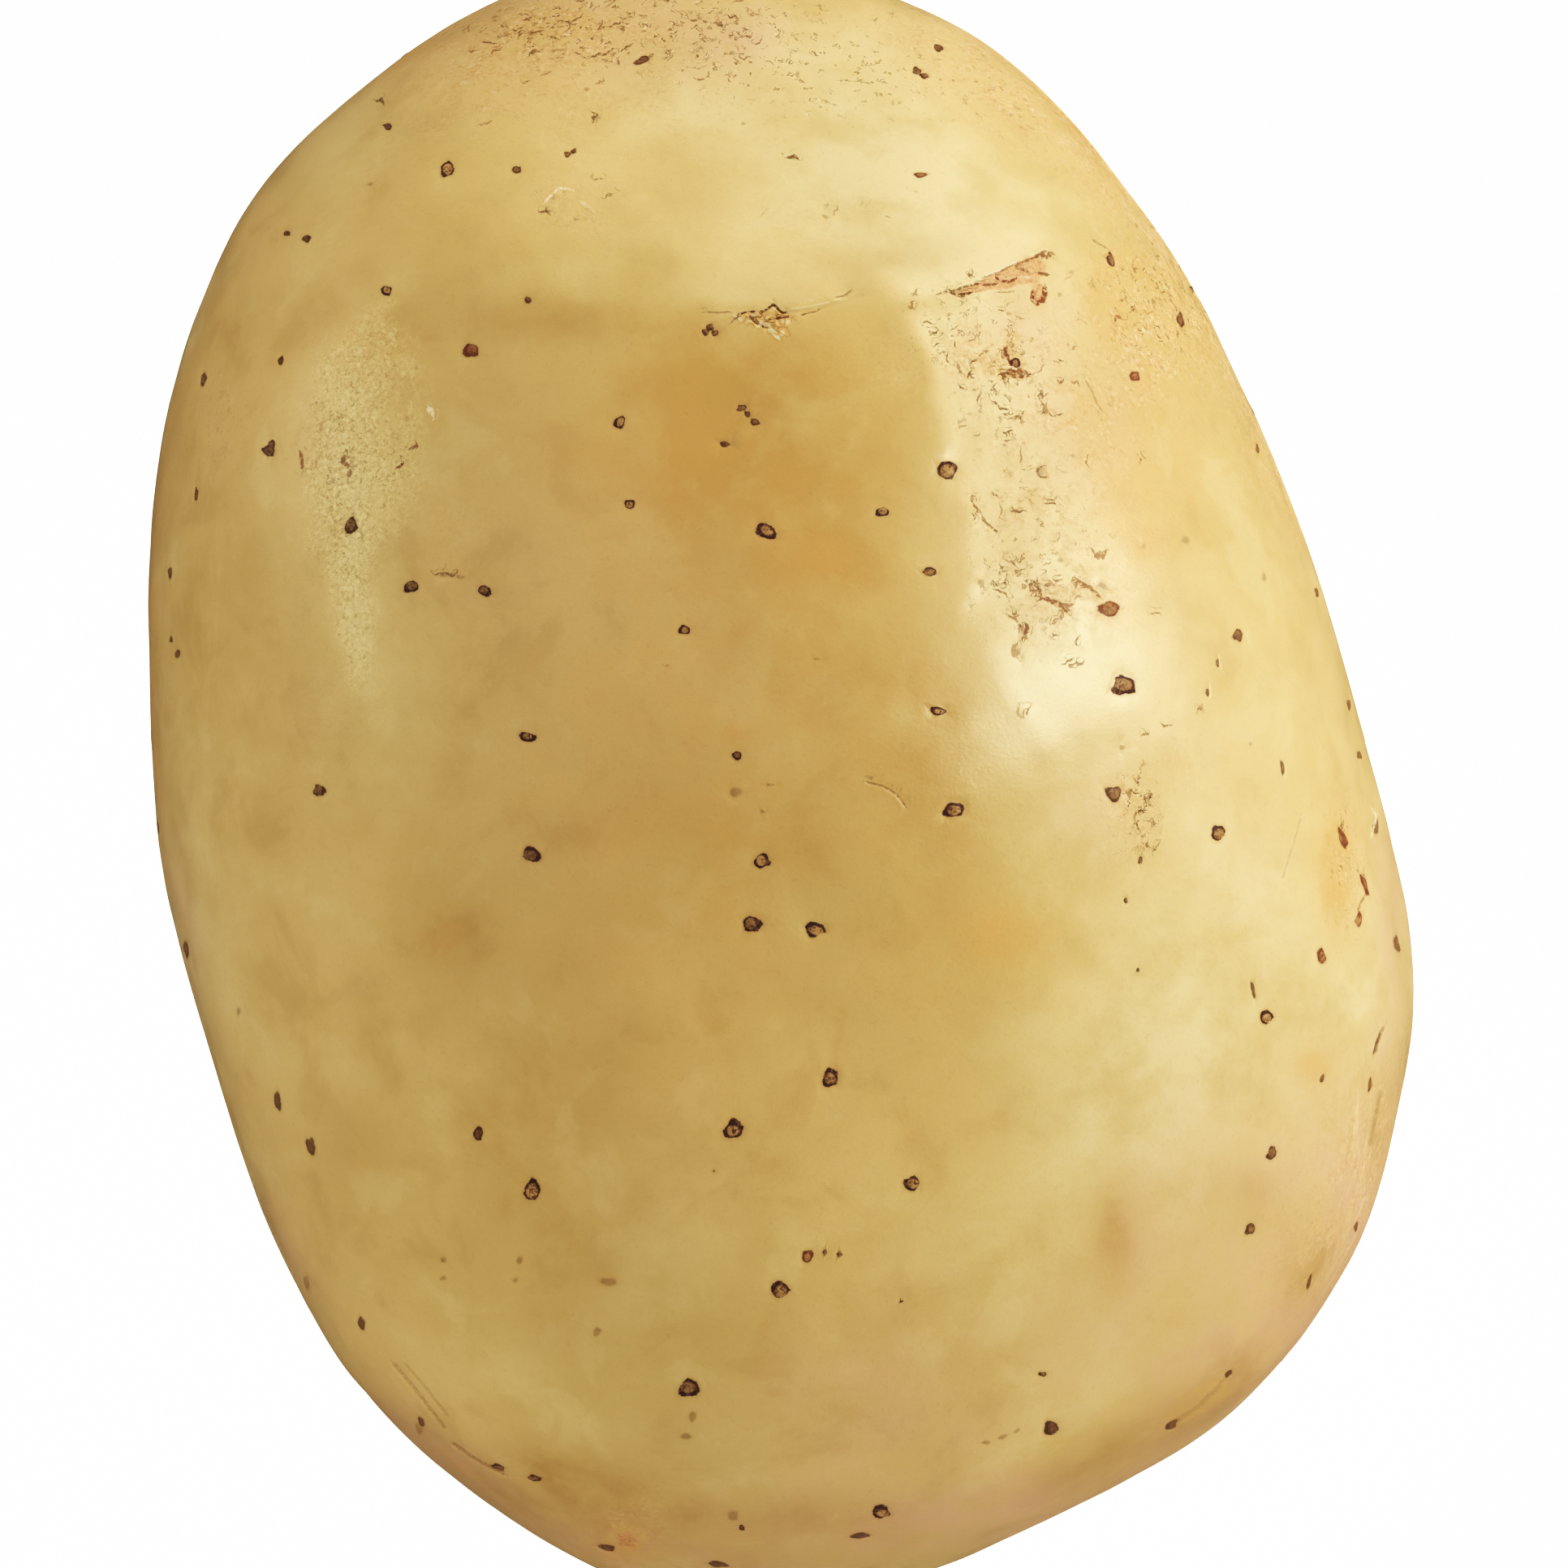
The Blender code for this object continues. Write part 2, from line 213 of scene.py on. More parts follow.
flecks = {  # short crooked strokes in the skin: x, y, width, height, turn
    "brown": [
        (657, 63, 9, 7, -30), (930, 19, 11, 4, -5), (903, 21, 9, 6, 0), (885, 28, 9, 6, 10),
        (819, 1, 13, 5, 0), (913, 1, 14, 6, 0), (773, 57, 9, 5, -20), (738, 66, 17, 6, -5),
        (753, 61, 10, 4, -20), (682, 45, 10, 5, 0), (695, 24, 15, 4, 5), (711, 21, 12, 4, -15),
        (637, 33, 11, 4, -10), (660, 38, 14, 4, -5), (921, 46, 10, 5, 0), (933, 53, 8, 4, -20),
        (917, 72, 11, 5, 5), (861, 85, 9, 4, 0), (862, 97, 9, 3, 0), (733, 142, 7, 9, 0),
        (598, 153, 13, 4, -12), (674, 91, 9, 4, -20), (740, 100, 8, 6, -40), (977, 190, 10, 7, -15),
        (737, 219, 9, 3, 0), (750, 238, 7, 5, 0), (610, 60, 10, 4, -30), (602, 51, 14, 4, 0),
        (760, 28, 8, 4, -20), (687, 71, 11, 3, 0), (715, 67, 9, 5, 0), (855, 23, 16, 5, 10),
        (866, 25, 8, 5, 0), (671, 258, 9, 6, 0), (1182, 361, 15, 6, 25), (1163, 359, 12, 3, -10),
        (1172, 357, 7, 4, 10), (1188, 371, 5, 4, 0), (1151, 409, 7, 5, 0), (1143, 398, 9, 5, 20),
        (1127, 361, 5, 6, 0), (1123, 378, 5, 8, 0), (1163, 434, 5, 4, 0), (1167, 443, 5, 10, -20),
        (1182, 454, 6, 11, -15), (1200, 443, 9, 5, -30), (1207, 488, 5, 10, 30), (1198, 463, 5, 4, 0),
        (1227, 477, 5, 9, 0), (1231, 499, 9, 5, 30), (1241, 502, 8, 3, 5), (1185, 477, 5, 3, 0),
        (1245, 514, 11, 4, 0), (1257, 513, 9, 6, 10), (1286, 484, 9, 6, -20), (1291, 502, 7, 9, -30),
        (1303, 509, 13, 3, 5), (1329, 469, 7, 5, 0), (1310, 468, 5, 3, 0), (1243, 531, 7, 4, -30),
        (1243, 542, 7, 4, 0), (1259, 560, 5, 12, -20), (1199, 613, 8, 7, 30), (1235, 628, 4, 12, 0),
        (1210, 634, 5, 12, -35), (1221, 647, 8, 4, 40), (1297, 620, 11, 4, 5), (1253, 629, 6, 5, 0),
        (1270, 461, 9, 6, 0), (1240, 466, 7, 9, 20), (1247, 693, 8, 5, 20), (1236, 705, 6, 4, 0),
        (1234, 730, 15, 5, 15), (1240, 716, 4, 9, 20), (1317, 814, 6, 4, 0), (1329, 817, 7, 6, 40),
        (1326, 791, 4, 6, 0), (1424, 756, 9, 4, 10), (1435, 894, 9, 4, -10), (1410, 905, 5, 4, 0),
        (1264, 876, 6, 5, 0), (1477, 873, 5, 5, 0), (1403, 960, 6, 12, 0), (1412, 985, 7, 14, 20),
        (1398, 1008, 6, 10, -20), (1418, 1012, 8, 5, 0), (468, 122, 8, 6, 20), (550, 708, 24, 6, 0),
    ],
    "rusty": [
        (1275, 723, 8, 10, -20), (1294, 720, 9, 6, 20), (1306, 746, 22, 8, 15), (1326, 716, 6, 9, -30),
        (1341, 722, 8, 5, 20), (1352, 731, 4, 9, -30), (1356, 682, 13, 7, 0), (1264, 778, 7, 15, 10),
        (1252, 803, 9, 14, 0), (1304, 762, 14, 6, -30), (1288, 738, 9, 5, 30), (1381, 388, 5, 5, 0),
        (512, 552, 7, 5, -40), (428, 575, 9, 20, 0), (494, 573, 5, 8, 30), (372, 568, 6, 16, 0),
        (1242, 433, 5, 12, -15), (1262, 455, 11, 5, 20), (1293, 311, 12, 7, 10),
    ],
}
# how each kind looks: darkness of its rim, paleness of its heart, redness, depth
lenticelLooks = {
    "ring": (1.0, 0.95, 0.15, 0.045 * mm),
    "plug": (0.95, 0.4, 0.3, 0.05 * mm),
    "slit": (0.85, 0.2, 0.35, 0.05 * mm),
    "red": (0.95, 0.6, 0.8, 0.04 * mm),
    "faint": (0.46, 0.4, 0.5, 0.03 * mm),
}
fleckLooks = {  # darkness, redness, half width as a share of the fleck's girth
    "brown": (0.7, 0.1, 0.26),
    "rusty": (0.8, 0.9, 0.4),
}
fleckDarkness = (0.7, 1.15)  # varies between these shares
thinnestFleck = 1.2  # half width in pixels
crowds = {  # more flecks, strewn by a rule
    "seed": 7,
    # x, y, half width, half height, how many, darkness
    "places": [(740, 40, 190, 36, 40, 0.5), (900, 50, 130, 40, 16, 0.4), (1240, 440, 60, 70, 26, 0.7),
               (1260, 600, 70, 80, 16, 0.6), (1270, 730, 60, 50, 12, 0.6), (1410, 1000, 14, 40, 12, 0.7),
               (1400, 350, 60, 60, 10, 0.4), (1030, 250, 70, 20, 6, 0.4)],
    "length": (3.0, 8.0),
    "girth": (2.0, 4.0),
    "halfWidth": 1.1,
    "bunching": 1.4,  # half width of a crowd over the spread of its flecks
    "turn": (-10, 45),  # mean and spread, in degrees
    "darkness": (0.5, 1.3),
    "redness": (-0.1, 0.15),
}

unseen = {  # lenticels of the flanks and the underside, placed by a rule
    "seed": 41,
    "tries": 900,
    "count": 118,
    "apart": 5.0 * mm,
    "halfSize": (0.28 * mm, 0.68 * mm),
    "kinds": ["ring", "ring", "plug", "plug", "slit", "red", "faint", "faint"],
}

# creases and cracks: their pixels, half width in pixels, depth, darkness, redness
creases = [
    # the middle eye
    ([(868, 385), (884, 386), (898, 385)], 1.4, 0.02 * mm, 0.45, 0.2),
    ([(902, 397), (906, 393), (912, 391)], 1.2, 0.02 * mm, 0.55, 0.2),
    ([(910, 388), (921, 385), (937, 385), (945, 382), (953, 376)], 1.5, 0.06 * mm, 0.95, 0.1),
    ([(953, 376), (959, 382), (963, 386), (968, 386)], 1.9, 0.08 * mm, 1.0, 0.1),
    ([(921, 386), (924, 392), (930, 398), (940, 403)], 1.4, 0.04 * mm, 0.75, 0.2),
    ([(945, 396), (950, 394), (962, 393), (971, 392)], 1.6, 0.04 * mm, 0.85, 0.6),
    ([(930, 391), (937, 392), (938, 386)], 1.2, 0.03 * mm, 0.65, 0.3),
    ([(989, 389), (995, 386), (1003, 385), (1009, 382)], 1.5, 0.04 * mm, 0.8, 0.1),
    ([(1031, 367), (1039, 365), (1047, 359)], 1.3, 0.02 * mm, 0.5, 0.1),
    ([(968, 388), (1000, 383), (1030, 374), (1060, 365)], 3.0, 0.05 * mm, 0.06, 0),
    # the right eye
    ([(1157, 361), (1163, 360), (1168, 357)], 1.4, 0.03 * mm, 0.8, 0.1),
    ([(1172, 358), (1178, 361), (1182, 363), (1187, 361), (1196, 359)], 2.1, 0.06 * mm, 0.95, 0.2),
    ([(1182, 354), (1187, 352), (1194, 350), (1206, 347)], 1.7, 0.05 * mm, 0.8, 0.4),
    ([(1211, 348), (1222, 348), (1228, 347)], 1.7, 0.04 * mm, 0.8, 0.4),
    ([(1208, 340), (1222, 336), (1237, 330)], 1.4, 0.05 * mm, 0.6, 0.4),
    ([(1237, 330), (1247, 324), (1267, 318), (1280, 312)], 1.5, 0.05 * mm, 0.7, 0.5),
    ([(1280, 312), (1291, 307), (1297, 312)], 2.8, 0.04 * mm, 0.85, 0.3),
    ([(1230, 339), (1237, 343), (1245, 344), (1253, 341)], 2.0, 0.04 * mm, 0.9, 0.7),
    ([(1255, 326), (1262, 328), (1269, 331)], 2.2, 0.02 * mm, 0.6, 0.2),
    ([(1284, 333), (1294, 335)], 2.2, 0.03 * mm, 0.8, 0.2),
    ([(1276, 358), (1276, 366), (1281, 371), (1288, 368), (1291, 360), (1291, 352)], 3.2, 0.05 * mm,
     0.9, 0.85),
    ([(1233, 357), (1240, 357), (1250, 356)], 1.2, 0.02 * mm, 0.5, 0.3),
    # the burst lenticel below it
    ([(1240, 428), (1243, 437), (1248, 446)], 1.9, 0.03 * mm, 0.9, 0.5),
    ([(1236, 459), (1243, 457), (1250, 462), (1261, 462), (1273, 459)], 2.0, 0.03 * mm, 0.9, 0.4),
    ([(1246, 452), (1252, 456), (1262, 455)], 1.6, 0.03 * mm, 0.8, 0.7),
    # chains down the right flank
    ([(1196, 613), (1200, 622), (1208, 629), (1212, 640), (1221, 647), (1228, 653)],
     1.6, 0.02 * mm, 0.7, 0.2),
    ([(1270, 720), (1278, 729), (1288, 735), (1295, 739), (1305, 742), (1314, 753)],
     2.2, 0.03 * mm, 0.8, 1.0),
    ([(1327, 714), (1336, 719), (1343, 723), (1355, 735)], 1.8, 0.03 * mm, 0.75, 1.0),
    ([(1240, 757), (1252, 763), (1258, 772), (1265, 786)], 1.8, 0.02 * mm, 0.6, 0.8),
    ([(1287, 573), (1281, 576), (1280, 581), (1284, 586), (1289, 586)], 1.5, 0.02 * mm, 0.6, 0.1),
    ([(1342, 467), (1350, 480), (1357, 497), (1362, 503)], 1.5, 0.02 * mm, 0.4, 0.3),
    ([(1352, 292), (1358, 297), (1366, 302)], 1.4, 0.02 * mm, 0.5, 0.1),
    ([(1068, 964), (1088, 969), (1104, 979), (1114, 992)], 1.5, 0.02 * mm, 0.45, 0.1),
    # long scratches near the outline
    ([(485, 1680), (512, 1712), (548, 1757)], 2.4, 0.05 * mm, 0.3, 0.3),
    ([(500, 1682), (526, 1712), (552, 1744)], 2.0, 0.04 * mm, 0.2, 0.3),
    ([(560, 1778), (586, 1797), (620, 1815)], 2.2, 0.05 * mm, 0.4, 0.2),
    ([(1445, 1755), (1476, 1735), (1503, 1709), (1516, 1692)], 3.0, 0.05 * mm, 0.2, 0.4),
    ([(1705, 1266), (1699, 1282), (1696, 1296)], 1.6, 0.03 * mm, 0.55, 0.4),
    ([(1702, 1346), (1694, 1380), (1688, 1410)], 2.6, 0.03 * mm, 0.3, 0.4),
    ([(1602, 1010), (1594, 1040), (1580, 1082)], 1.2, 0.01 * mm, 0.25, 0.3),
    ([(1655, 1014), (1652, 1024), (1658, 1044)], 2.2, 0.03 * mm, 0.7, 0.5),
    ([(1681, 1078), (1686, 1098), (1676, 1112), (1672, 1122)], 1.6, 0.03 * mm, 0.6, 0.6),
]
shoulder = {  # the bend across the stem end that runs on down the right flank
    # x, y, how much painted light lies past it
    "path": [(560, 394, 0), (640, 371, 0.2), (760, 371, 0.3), (870, 381, 0.4), (960, 381, 0.6),
             (1030, 374, 0.75), (1075, 363, 0.85), (1115, 384, 0.95), (1135, 440, 0.9),
             (1160, 530, 0.7), (1178, 620, 0.5), (1190, 700, 0.4), (1215, 780, 0.4), (1255, 870, 0.35),
             (1310, 950, 0.2), (1380, 1060, 0)],
    "crest": (0.12 * mm, 22),  # height, half width in pixels
    "drop": (0.4 * mm, 60, 200, 420),  # depth, steepness, where it starts and ends to come back
    "paleAndPaintedLight": (-34, 52, 90, 300),  # painted light past the bend: rises from and to, fades from and to
    "wander": (34, 55),  # how far the bend strays, in waves this long
}

paleRise = 0.03 * mm
paleLines = [  # curled edges of torn skin, and a painted glint: their pixels, half width and paleness
    ([(672, 246), (680, 238), (690, 229), (706, 232)], 1.8, 0.7),
    ([(716, 246), (724, 252), (732, 258)], 2.2, 0.4),
    ([(530, 505), (532, 509)], 4.4, 1.0),
    ([(938, 398), (948, 403)], 1.9, 0.6),
    ([(949, 407), (954, 411), (959, 416)], 2.6, 0.7),
    ([(905, 390), (914, 396), (924, 397)], 1.2, 0.4),
    ([(926, 389), (934, 389)], 1.4, 0.5),
    ([(975, 382), (995, 380), (1014, 376), (1040, 368)], 1.8, 0.28),
    ([(1206, 341), (1230, 331), (1256, 319)], 1.6, 0.5),
    ([(1238, 450), (1247, 451), (1256, 452)], 1.3, 0.7),
    ([(1260, 338), (1272, 339)], 1.2, 0.5),
    # a painted glint on the right flank
    ([(1692, 996), (1698, 1006), (1692, 1030)], 1.4, 0.5),
]

# stains, painted shade and painted light: x, y, half width, half height, turn, strength
stains = {
    "warm": [
        (1250, 1155, 60, 45, 0, 0.7), (771, 1898, 30, 20, 0, 1.7), (1020, 690, 50, 28, 20, 0.3),
        (790, 560, 80, 60, 0, 0.2), (450, 430, 70, 60, 0, 0.35), (1600, 1630, 50, 60, 30, 0.4),
        (1500, 1740, 110, 30, -35, 0.4), (1372, 1515, 26, 60, 0, 0.3), (1645, 1070, 26, 80, 0, 1.0),
        (1400, 600, 60, 110, 0, 0.6), (1400, 400, 50, 90, -20, 0.4), (850, 1000, 260, 380, 0, 0.3),
        (330, 440, 90, 150, 0, 0.15), (1230, 130, 120, 60, 25, 0.2), (700, 60, 220, 70, 0, 0.2),
        (930, 560, 230, 190, 0, 0.15), (905, 905, 16, 12, 0, 0.7), (640, 250, 200, 90, 0, 0.25),
        (1410, 672, 34, 26, 0, 0.6), (1500, 350, 70, 36, 60, 0.5), (1380, 200, 90, 36, 48, 0.5),
        (1620, 1312, 26, 22, 0, 0.7),
    ],
    "paintedShade": [  # painted shade: a deeper gold where the skin faces the camera, under the bend and along the right flank's shadow line
        (900, 500, 150, 90, 0, 0.55), (900, 640, 190, 110, 0, 0.45), (1060, 560, 70, 150, 0, 0.35),
        (980, 820, 170, 120, 0, 0.5), (1170, 1150, 100, 280, 0, 0.45), (690, 400, 110, 24, 0, 0.5),
        (900, 420, 60, 40, 0, 0.35), (1040, 690, 56, 30, 25, 0.6), (900, 1040, 160, 100, 0, 0.35),
        (890, 530, 170, 150, 0, 0.45), (1140, 880, 60, 100, 0, 0.6), (1160, 960, 80, 100, 0, 0.5),
    ],
    "pink": [
        (1690, 1480, 50, 150, 8, 0.7), (1630, 1640, 80, 60, -40, 0.6), (1715, 1150, 20, 150, 0, 0.5),
        (1480, 1760, 120, 24, -32, 0.5), (560, 1800, 130, 26, 32, 0.7), (800, 1900, 200, 34, 8, 0.5),
        (340, 1540, 30, 90, -28, 0.5), (1260, 400, 50, 60, 0, 0.5), (1330, 530, 60, 60, 0, 0.4),
        (1400, 1500, 30, 60, 0, 0.4), (1020, 1880, 160, 40, 0, 0.4), (230, 1150, 16, 120, -6, 0.4),
        (1350, 1000, 60, 60, 0, 0.3), (1620, 1520, 110, 160, 20, 0.5), (1420, 1620, 150, 120, 0, 0.25),
        (1250, 1860, 160, 40, -12, 0.8), (1500, 1690, 90, 50, -35, 0.6), (760, 40, 200, 60, 0, 0.45),
        (900, 50, 50, 40, 0, 0.4), (1100, 1720, 160, 100, 0, 0.35), (1480, 1420, 100, 120, 0, 0.25),
    ],
    # brown smudges, and painted shade along the bend: under it on the left, and in the hollow above it on
    # the right
    "smudgeAndShade": [
        (690, 1030, 60, 36, -20, 0.4), (560, 1150, 60, 70, 20, 0.4), (430, 1420, 50, 60, 0, 0.35),
        (345, 1010, 40, 40, 0, 0.3), (700, 1640, 60, 50, 0, 0.3), (1372, 1515, 26, 60, 0, 0.6),
        (1540, 1480, 40, 60, 0, 0.4), (1615, 1560, 32, 60, 20, 0.8), (1700, 1390, 14, 70, 5, 0.7),
        (680, 1800, 60, 26, 25, 0.4), (430, 1720, 60, 60, 40, 0.3), (1490, 1720, 90, 26, -35, 0.5),
        (1350, 1800, 90, 36, -30, 0.6), (1000, 1870, 120, 30, 0, 0.4), (1520, 1685, 60, 40, -40, 0.4),
        (720, 1850, 200, 50, 12, 0.75), (690, 385, 90, 22, 0, 0.5), (860, 240, 50, 40, 0, 0.35),
        (1080, 318, 90, 22, -8, 0.5), (450, 1230, 30, 40, 0, 0.3), (1370, 470, 60, 60, 0, 0.3),
        (930, 480, 60, 50, 0, 0.25), (700, 1180, 40, 40, 0, 0.2), (730, 1560, 40, 30, 0, 0.25),
    ],
    "russet": [
        (720, 30, 200, 60, 0, 0.6), (1230, 440, 70, 60, 0, 0.7), (1400, 400, 70, 110, -25, 0.9),
        (1260, 600, 80, 120, 0, 0.6), (1310, 740, 90, 60, 0, 0.8), (1385, 1000, 36, 60, 0, 0.9),
        (1660, 1070, 26, 90, 0, 0.8), (1230, 110, 110, 60, 25, 0.6), (700, 250, 60, 40, 20, 0.5),
        (560, 640, 60, 80, 0, 0.25), (420, 560, 60, 120, 0, 0.2), (1320, 560, 70, 110, 0, 0.5),
        (1460, 930, 60, 60, 0, 0.3), (1120, 440, 90, 40, 0, 0.35), (270, 520, 50, 80, 0, 0.35),
        (405, 540, 40, 60, 0, 0.7), (775, 1880, 60, 40, 0, 0.5), (1020, 260, 90, 30, 0, 0.4),
        (1230, 420, 50, 50, 0, 0.5), (1350, 530, 60, 60, 0, 0.5), (1405, 430, 50, 60, 0, 0.5),
        (1190, 60, 120, 40, 28, 0.8), (1360, 200, 120, 44, 48, 0.9), (1480, 380, 110, 40, 62, 0.9),
        (1560, 570, 100, 26, 68, 0.6), (630, 70, 120, 60, -25, 0.8), (760, 140, 200, 60, 0, 0.35),
        (480, 200, 100, 30, -45, 0.3), (1650, 1500, 70, 140, 12, 0.7), (1690, 1380, 30, 90, 5, 0.6),
    ],
    "patch": [  # tanned patches with a plain edge
        (1345, 520, 34, 56, 0, 1.0), (1400, 610, 50, 34, 20, 0.7), (1410, 672, 36, 24, 0, 1.0),
        (1372, 370, 34, 60, 0, 1.0), (1430, 350, 60, 50, 30, 0.9), (1480, 440, 40, 60, 0, 0.7),
        (1642, 1075, 19, 62, 0, 1.5), (771, 1896, 26, 17, 0, 1.4), (1252, 1160, 40, 34, 0, 1.0),
        (1472, 1730, 40, 20, -30, 0.6), (1302, 1776, 40, 9, -10, 0.8), (745, 1578, 26, 18, 0, 0.7),
        (547, 1156, 34, 40, 0, 0.7), (1655, 1320, 14, 26, 0, 0.4), (1300, 110, 80, 30, 25, 0.7),
        (1420, 230, 70, 24, 50, 0.8), (620, 60, 90, 40, -20, 0.6), (710, 30, 70, 30, 0, 0.6),
        (900, 60, 26, 22, 0, 0.5), (1245, 420, 40, 40, 0, 0.6), (1360, 745, 30, 26, 0, 0.6),
        (1390, 990, 24, 40, 0, 0.7), (560, 1800, 70, 14, 34, 0.5), (1480, 1730, 80, 18, -38, 0.6),
        (450, 1430, 40, 24, 0, 0.5),
    ],
    "streak": [  # where the skin is drawn out in lines
        (1670, 1410, 26, 80, 5, 1.0), (1640, 1560, 30, 70, 18, 0.4), (1560, 420, 20, 90, -28, 0.6),
        (1480, 300, 26, 90, -38, 0.6), (260, 700, 20, 200, 0, 0.3),
    ],
    "scar": [  # torn, flaking skin
        (942, 394, 40, 11, 0, 1.0), (955, 404, 20, 8, 30, 1.0), (1246, 456, 24, 16, 0, 0.7),
        (690, 238, 22, 9, -20, 0.4),
    ],
    "rust": [  # the orange brown corner of an eye
        (1272, 328, 22, 15, -20, 1.2), (1244, 340, 26, 12, -20, 1.2), (1212, 349, 24, 6, -22, 1.1),
        (1284, 360, 11, 15, 0, 1.0), (1190, 357, 20, 4, -15, 0.6), (772, 1897, 24, 16, 5, 0.75),
    ],
    "fleck": [  # where short brown strokes crowd
        (760, 30, 240, 60, 4, 0.9), (1230, 440, 70, 70, 0, 0.8), (1250, 560, 60, 90, 0, 0.4),
        (1270, 730, 70, 70, 0, 0.5), (1400, 990, 30, 60, 0, 0.9), (1660, 1070, 26, 90, 0, 0.6),
        (1150, 400, 50, 40, 0, 0.5), (1000, 90, 160, 60, 10, 0.6), (420, 560, 40, 60, 0, 0.7),
        (1420, 370, 60, 90, -20, 0.9), (700, 250, 60, 30, 20, 0.5), (1340, 640, 60, 50, 0, 0.4),
        (1230, 110, 110, 60, 25, 0.4), (270, 520, 40, 70, 0, 0.3), (1240, 700, 40, 40, 0, 0.4),
    ],
    "grit": [  # a rubbed, sandy patch, its light specks partly a painted glint
        (440, 480, 80, 80, 10, 1.0), (412, 600, 40, 110, 0, 1.1), (438, 760, 26, 110, -4, 1.1),
        (510, 560, 50, 60, 0, 0.5), (470, 640, 44, 70, 0, 0.6), (480, 400, 40, 40, 0, 0.5),
    ],
    # paler skin in places, and painted light: the stem end and the right flank where they face the
    # lights, bright lines along the bend, and the glow of the highlights on the right flank and the
    # rubbed patch
    "paleAndPaintedLight": [
        (1090, 170, 130, 80, 10, 0.7), (960, 60, 180, 50, 0, 0.7), (850, 130, 110, 50, 0, 0.6),
        (1430, 1330, 130, 120, 0, 0.45), (240, 1130, 50, 150, 0, 0.6), (440, 170, 80, 60, -45, 0.4),
        (430, 400, 60, 80, 0, 0.3), (1200, 420, 50, 60, 0, 0.4), (1490, 1260, 190, 260, 0, 0.5),
        (1640, 1160, 60, 200, 0, 0.3), (480, 850, 70, 160, 0, 0.2), (500, 1330, 120, 110, 0, 0.2),
        (640, 1690, 110, 70, 0, 0.25), (1230, 1560, 140, 90, 0, 0.25), (1180, 340, 70, 9, -20, 0.7),
        (1300, 800, 80, 130, 0, 0.4), (640, 245, 120, 40, 0, 0.2), (900, 366, 130, 8, 0, 0.3),
        (432, 600, 34, 150, -4, 0.42), (446, 790, 22, 80, -4, 0.4), (800, 1550, 100, 120, 0, 0.35),
        (1690, 1240, 40, 80, 0, 0.6), (1380, 1420, 120, 110, 0, 0.3),
    ],
}


# the eyes of the flanks and the underside, where the solid has its hollows:
# place along the length in mm, angle round it in degrees (0 is the top), half length of the brow
hiddenEyes = {
    "places": [(-44, 150, 6), (20, -128, 8), (-14, -112, 8), (24, 122, 7.5), (-20, 148, 7.5)],
    "fullness": 2.22,
    "crownShare": 0.52,
    "browCurve": 0.035 / mm,
    "creaseHalf": 0.3 * mm,
    "creaseDepth": 0.16 * mm,
    "bud": (1.15 * mm, 0.7 * mm, 0.34 * mm),  # half length, half width and height
    "budBelow": 0.9,  # how far below the crease it lies, in half widths
    "budUneven": (0.8, 0.4),  # its even share, and the share that varies
    "reach": 3.4 * mm,
    "wobble": (0.6, 0.8 * mm),  # how much the crease's width varies, in waves this long
    "browFade": 2.5,
    "stain": (0.6, 2.2 * mm),  # half length as a share of the brow's, and half width
    "stainStrengths": {"russet": 0.9, "smudgeAndShade": 0.6},
    "creaseDark": 0.6,
    "torn": (1.5, 0.8),  # size as a share of the bud's, and strength
}
flakeForm = {"size": 0.8 * mm, "edge": 0.25, "height": 0.09 * mm, "level": 0.6, "least": 0.1}


def eyeAim(along, around):  # from the heart of the potato towards an eye
    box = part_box("potato")
    size = box[1] - box[0]
    rise = along * mm / (size.y / 2)
    level = math.sqrt(1 - rise * rise)
    turn = math.radians(around)
    x, z = math.sin(turn) * level, math.cos(turn) * level
    plan = math.hypot(x, rise)
    stretch = plan ** (2 / hiddenEyes["fullness"]) / plan
    share = hiddenEyes["crownShare"] if z > 0 else 1 - hiddenEyes["crownShare"]
    height = math.copysign(abs(z) ** (2 / hiddenEyes["fullness"]), z) * share * size.z
    middle = (1 - hiddenEyes["crownShare"]) * size.z
    place = Vector((x * stretch * size.x / 2, rise * stretch * size.y / 2, height + middle))
    return place - skin["heart"]


def skinFrame(tree, aim):  # the skin's point in this direction, its normal and two axes along it
    point, normal = tree.ray_cast(skin["heart"], aim)[:2]
    across = Vector((0, 1, 0)).cross(normal)
    if across.length < 0.01:
        across = Vector((1, 0, 0))
    across.normalize()
    return point, normal, across, normal.cross(across)


def seenInPhotograph(point, normal):
    x, y, _ = pixelOf(point)
    faces = normal.dot((cameraAt - point).normalized())
    return faces > shot["plainlySeen"] and 0 < x < shot["side"] and 0 < y < shot["side"]


pore = {  # how a lenticel is formed, with lengths as shares of its radius
    "lobes": ((2, 0.09), (3, 0.13), (4, 0.08), (5, 0.05)),  # how many round the rim, and how high
    "lobeShare": (0.4, 1.0),
    "heartOffset": (-0.18, 0.18),
    "heartSize": (0.6, 0.82),
    "heartFill": (0.4, 1.0),
    "narrow": (0.6, 1.0),  # width over length
    "slit": 0.45,  # a slit's width is this much of it
    "printed": 2.6,  # how far out it reaches
    "groove": 0.3,  # half width of the groove at its rim
    "dome": (0.4, 0.4),  # height of the dome with no heart, and what a heart adds
    "away": 1.3,  # what the shader reads where there is no lenticel
}


def markShape(rng):  # slight lobes, so that no lenticel is a plain ellipse
    return [(turns, size * rng.uniform(*pore["lobeShare"]), rng.uniform(0, math.tau))
            for turns, size in pore["lobes"]]


def markHeart(rng):  # its pale heart lies off the middle: place across and along, half sizes
    return (rng.uniform(*pore["heartOffset"]), rng.uniform(*pore["heartOffset"]),
            rng.uniform(*pore["heartSize"]), rng.uniform(*pore["heartSize"]))


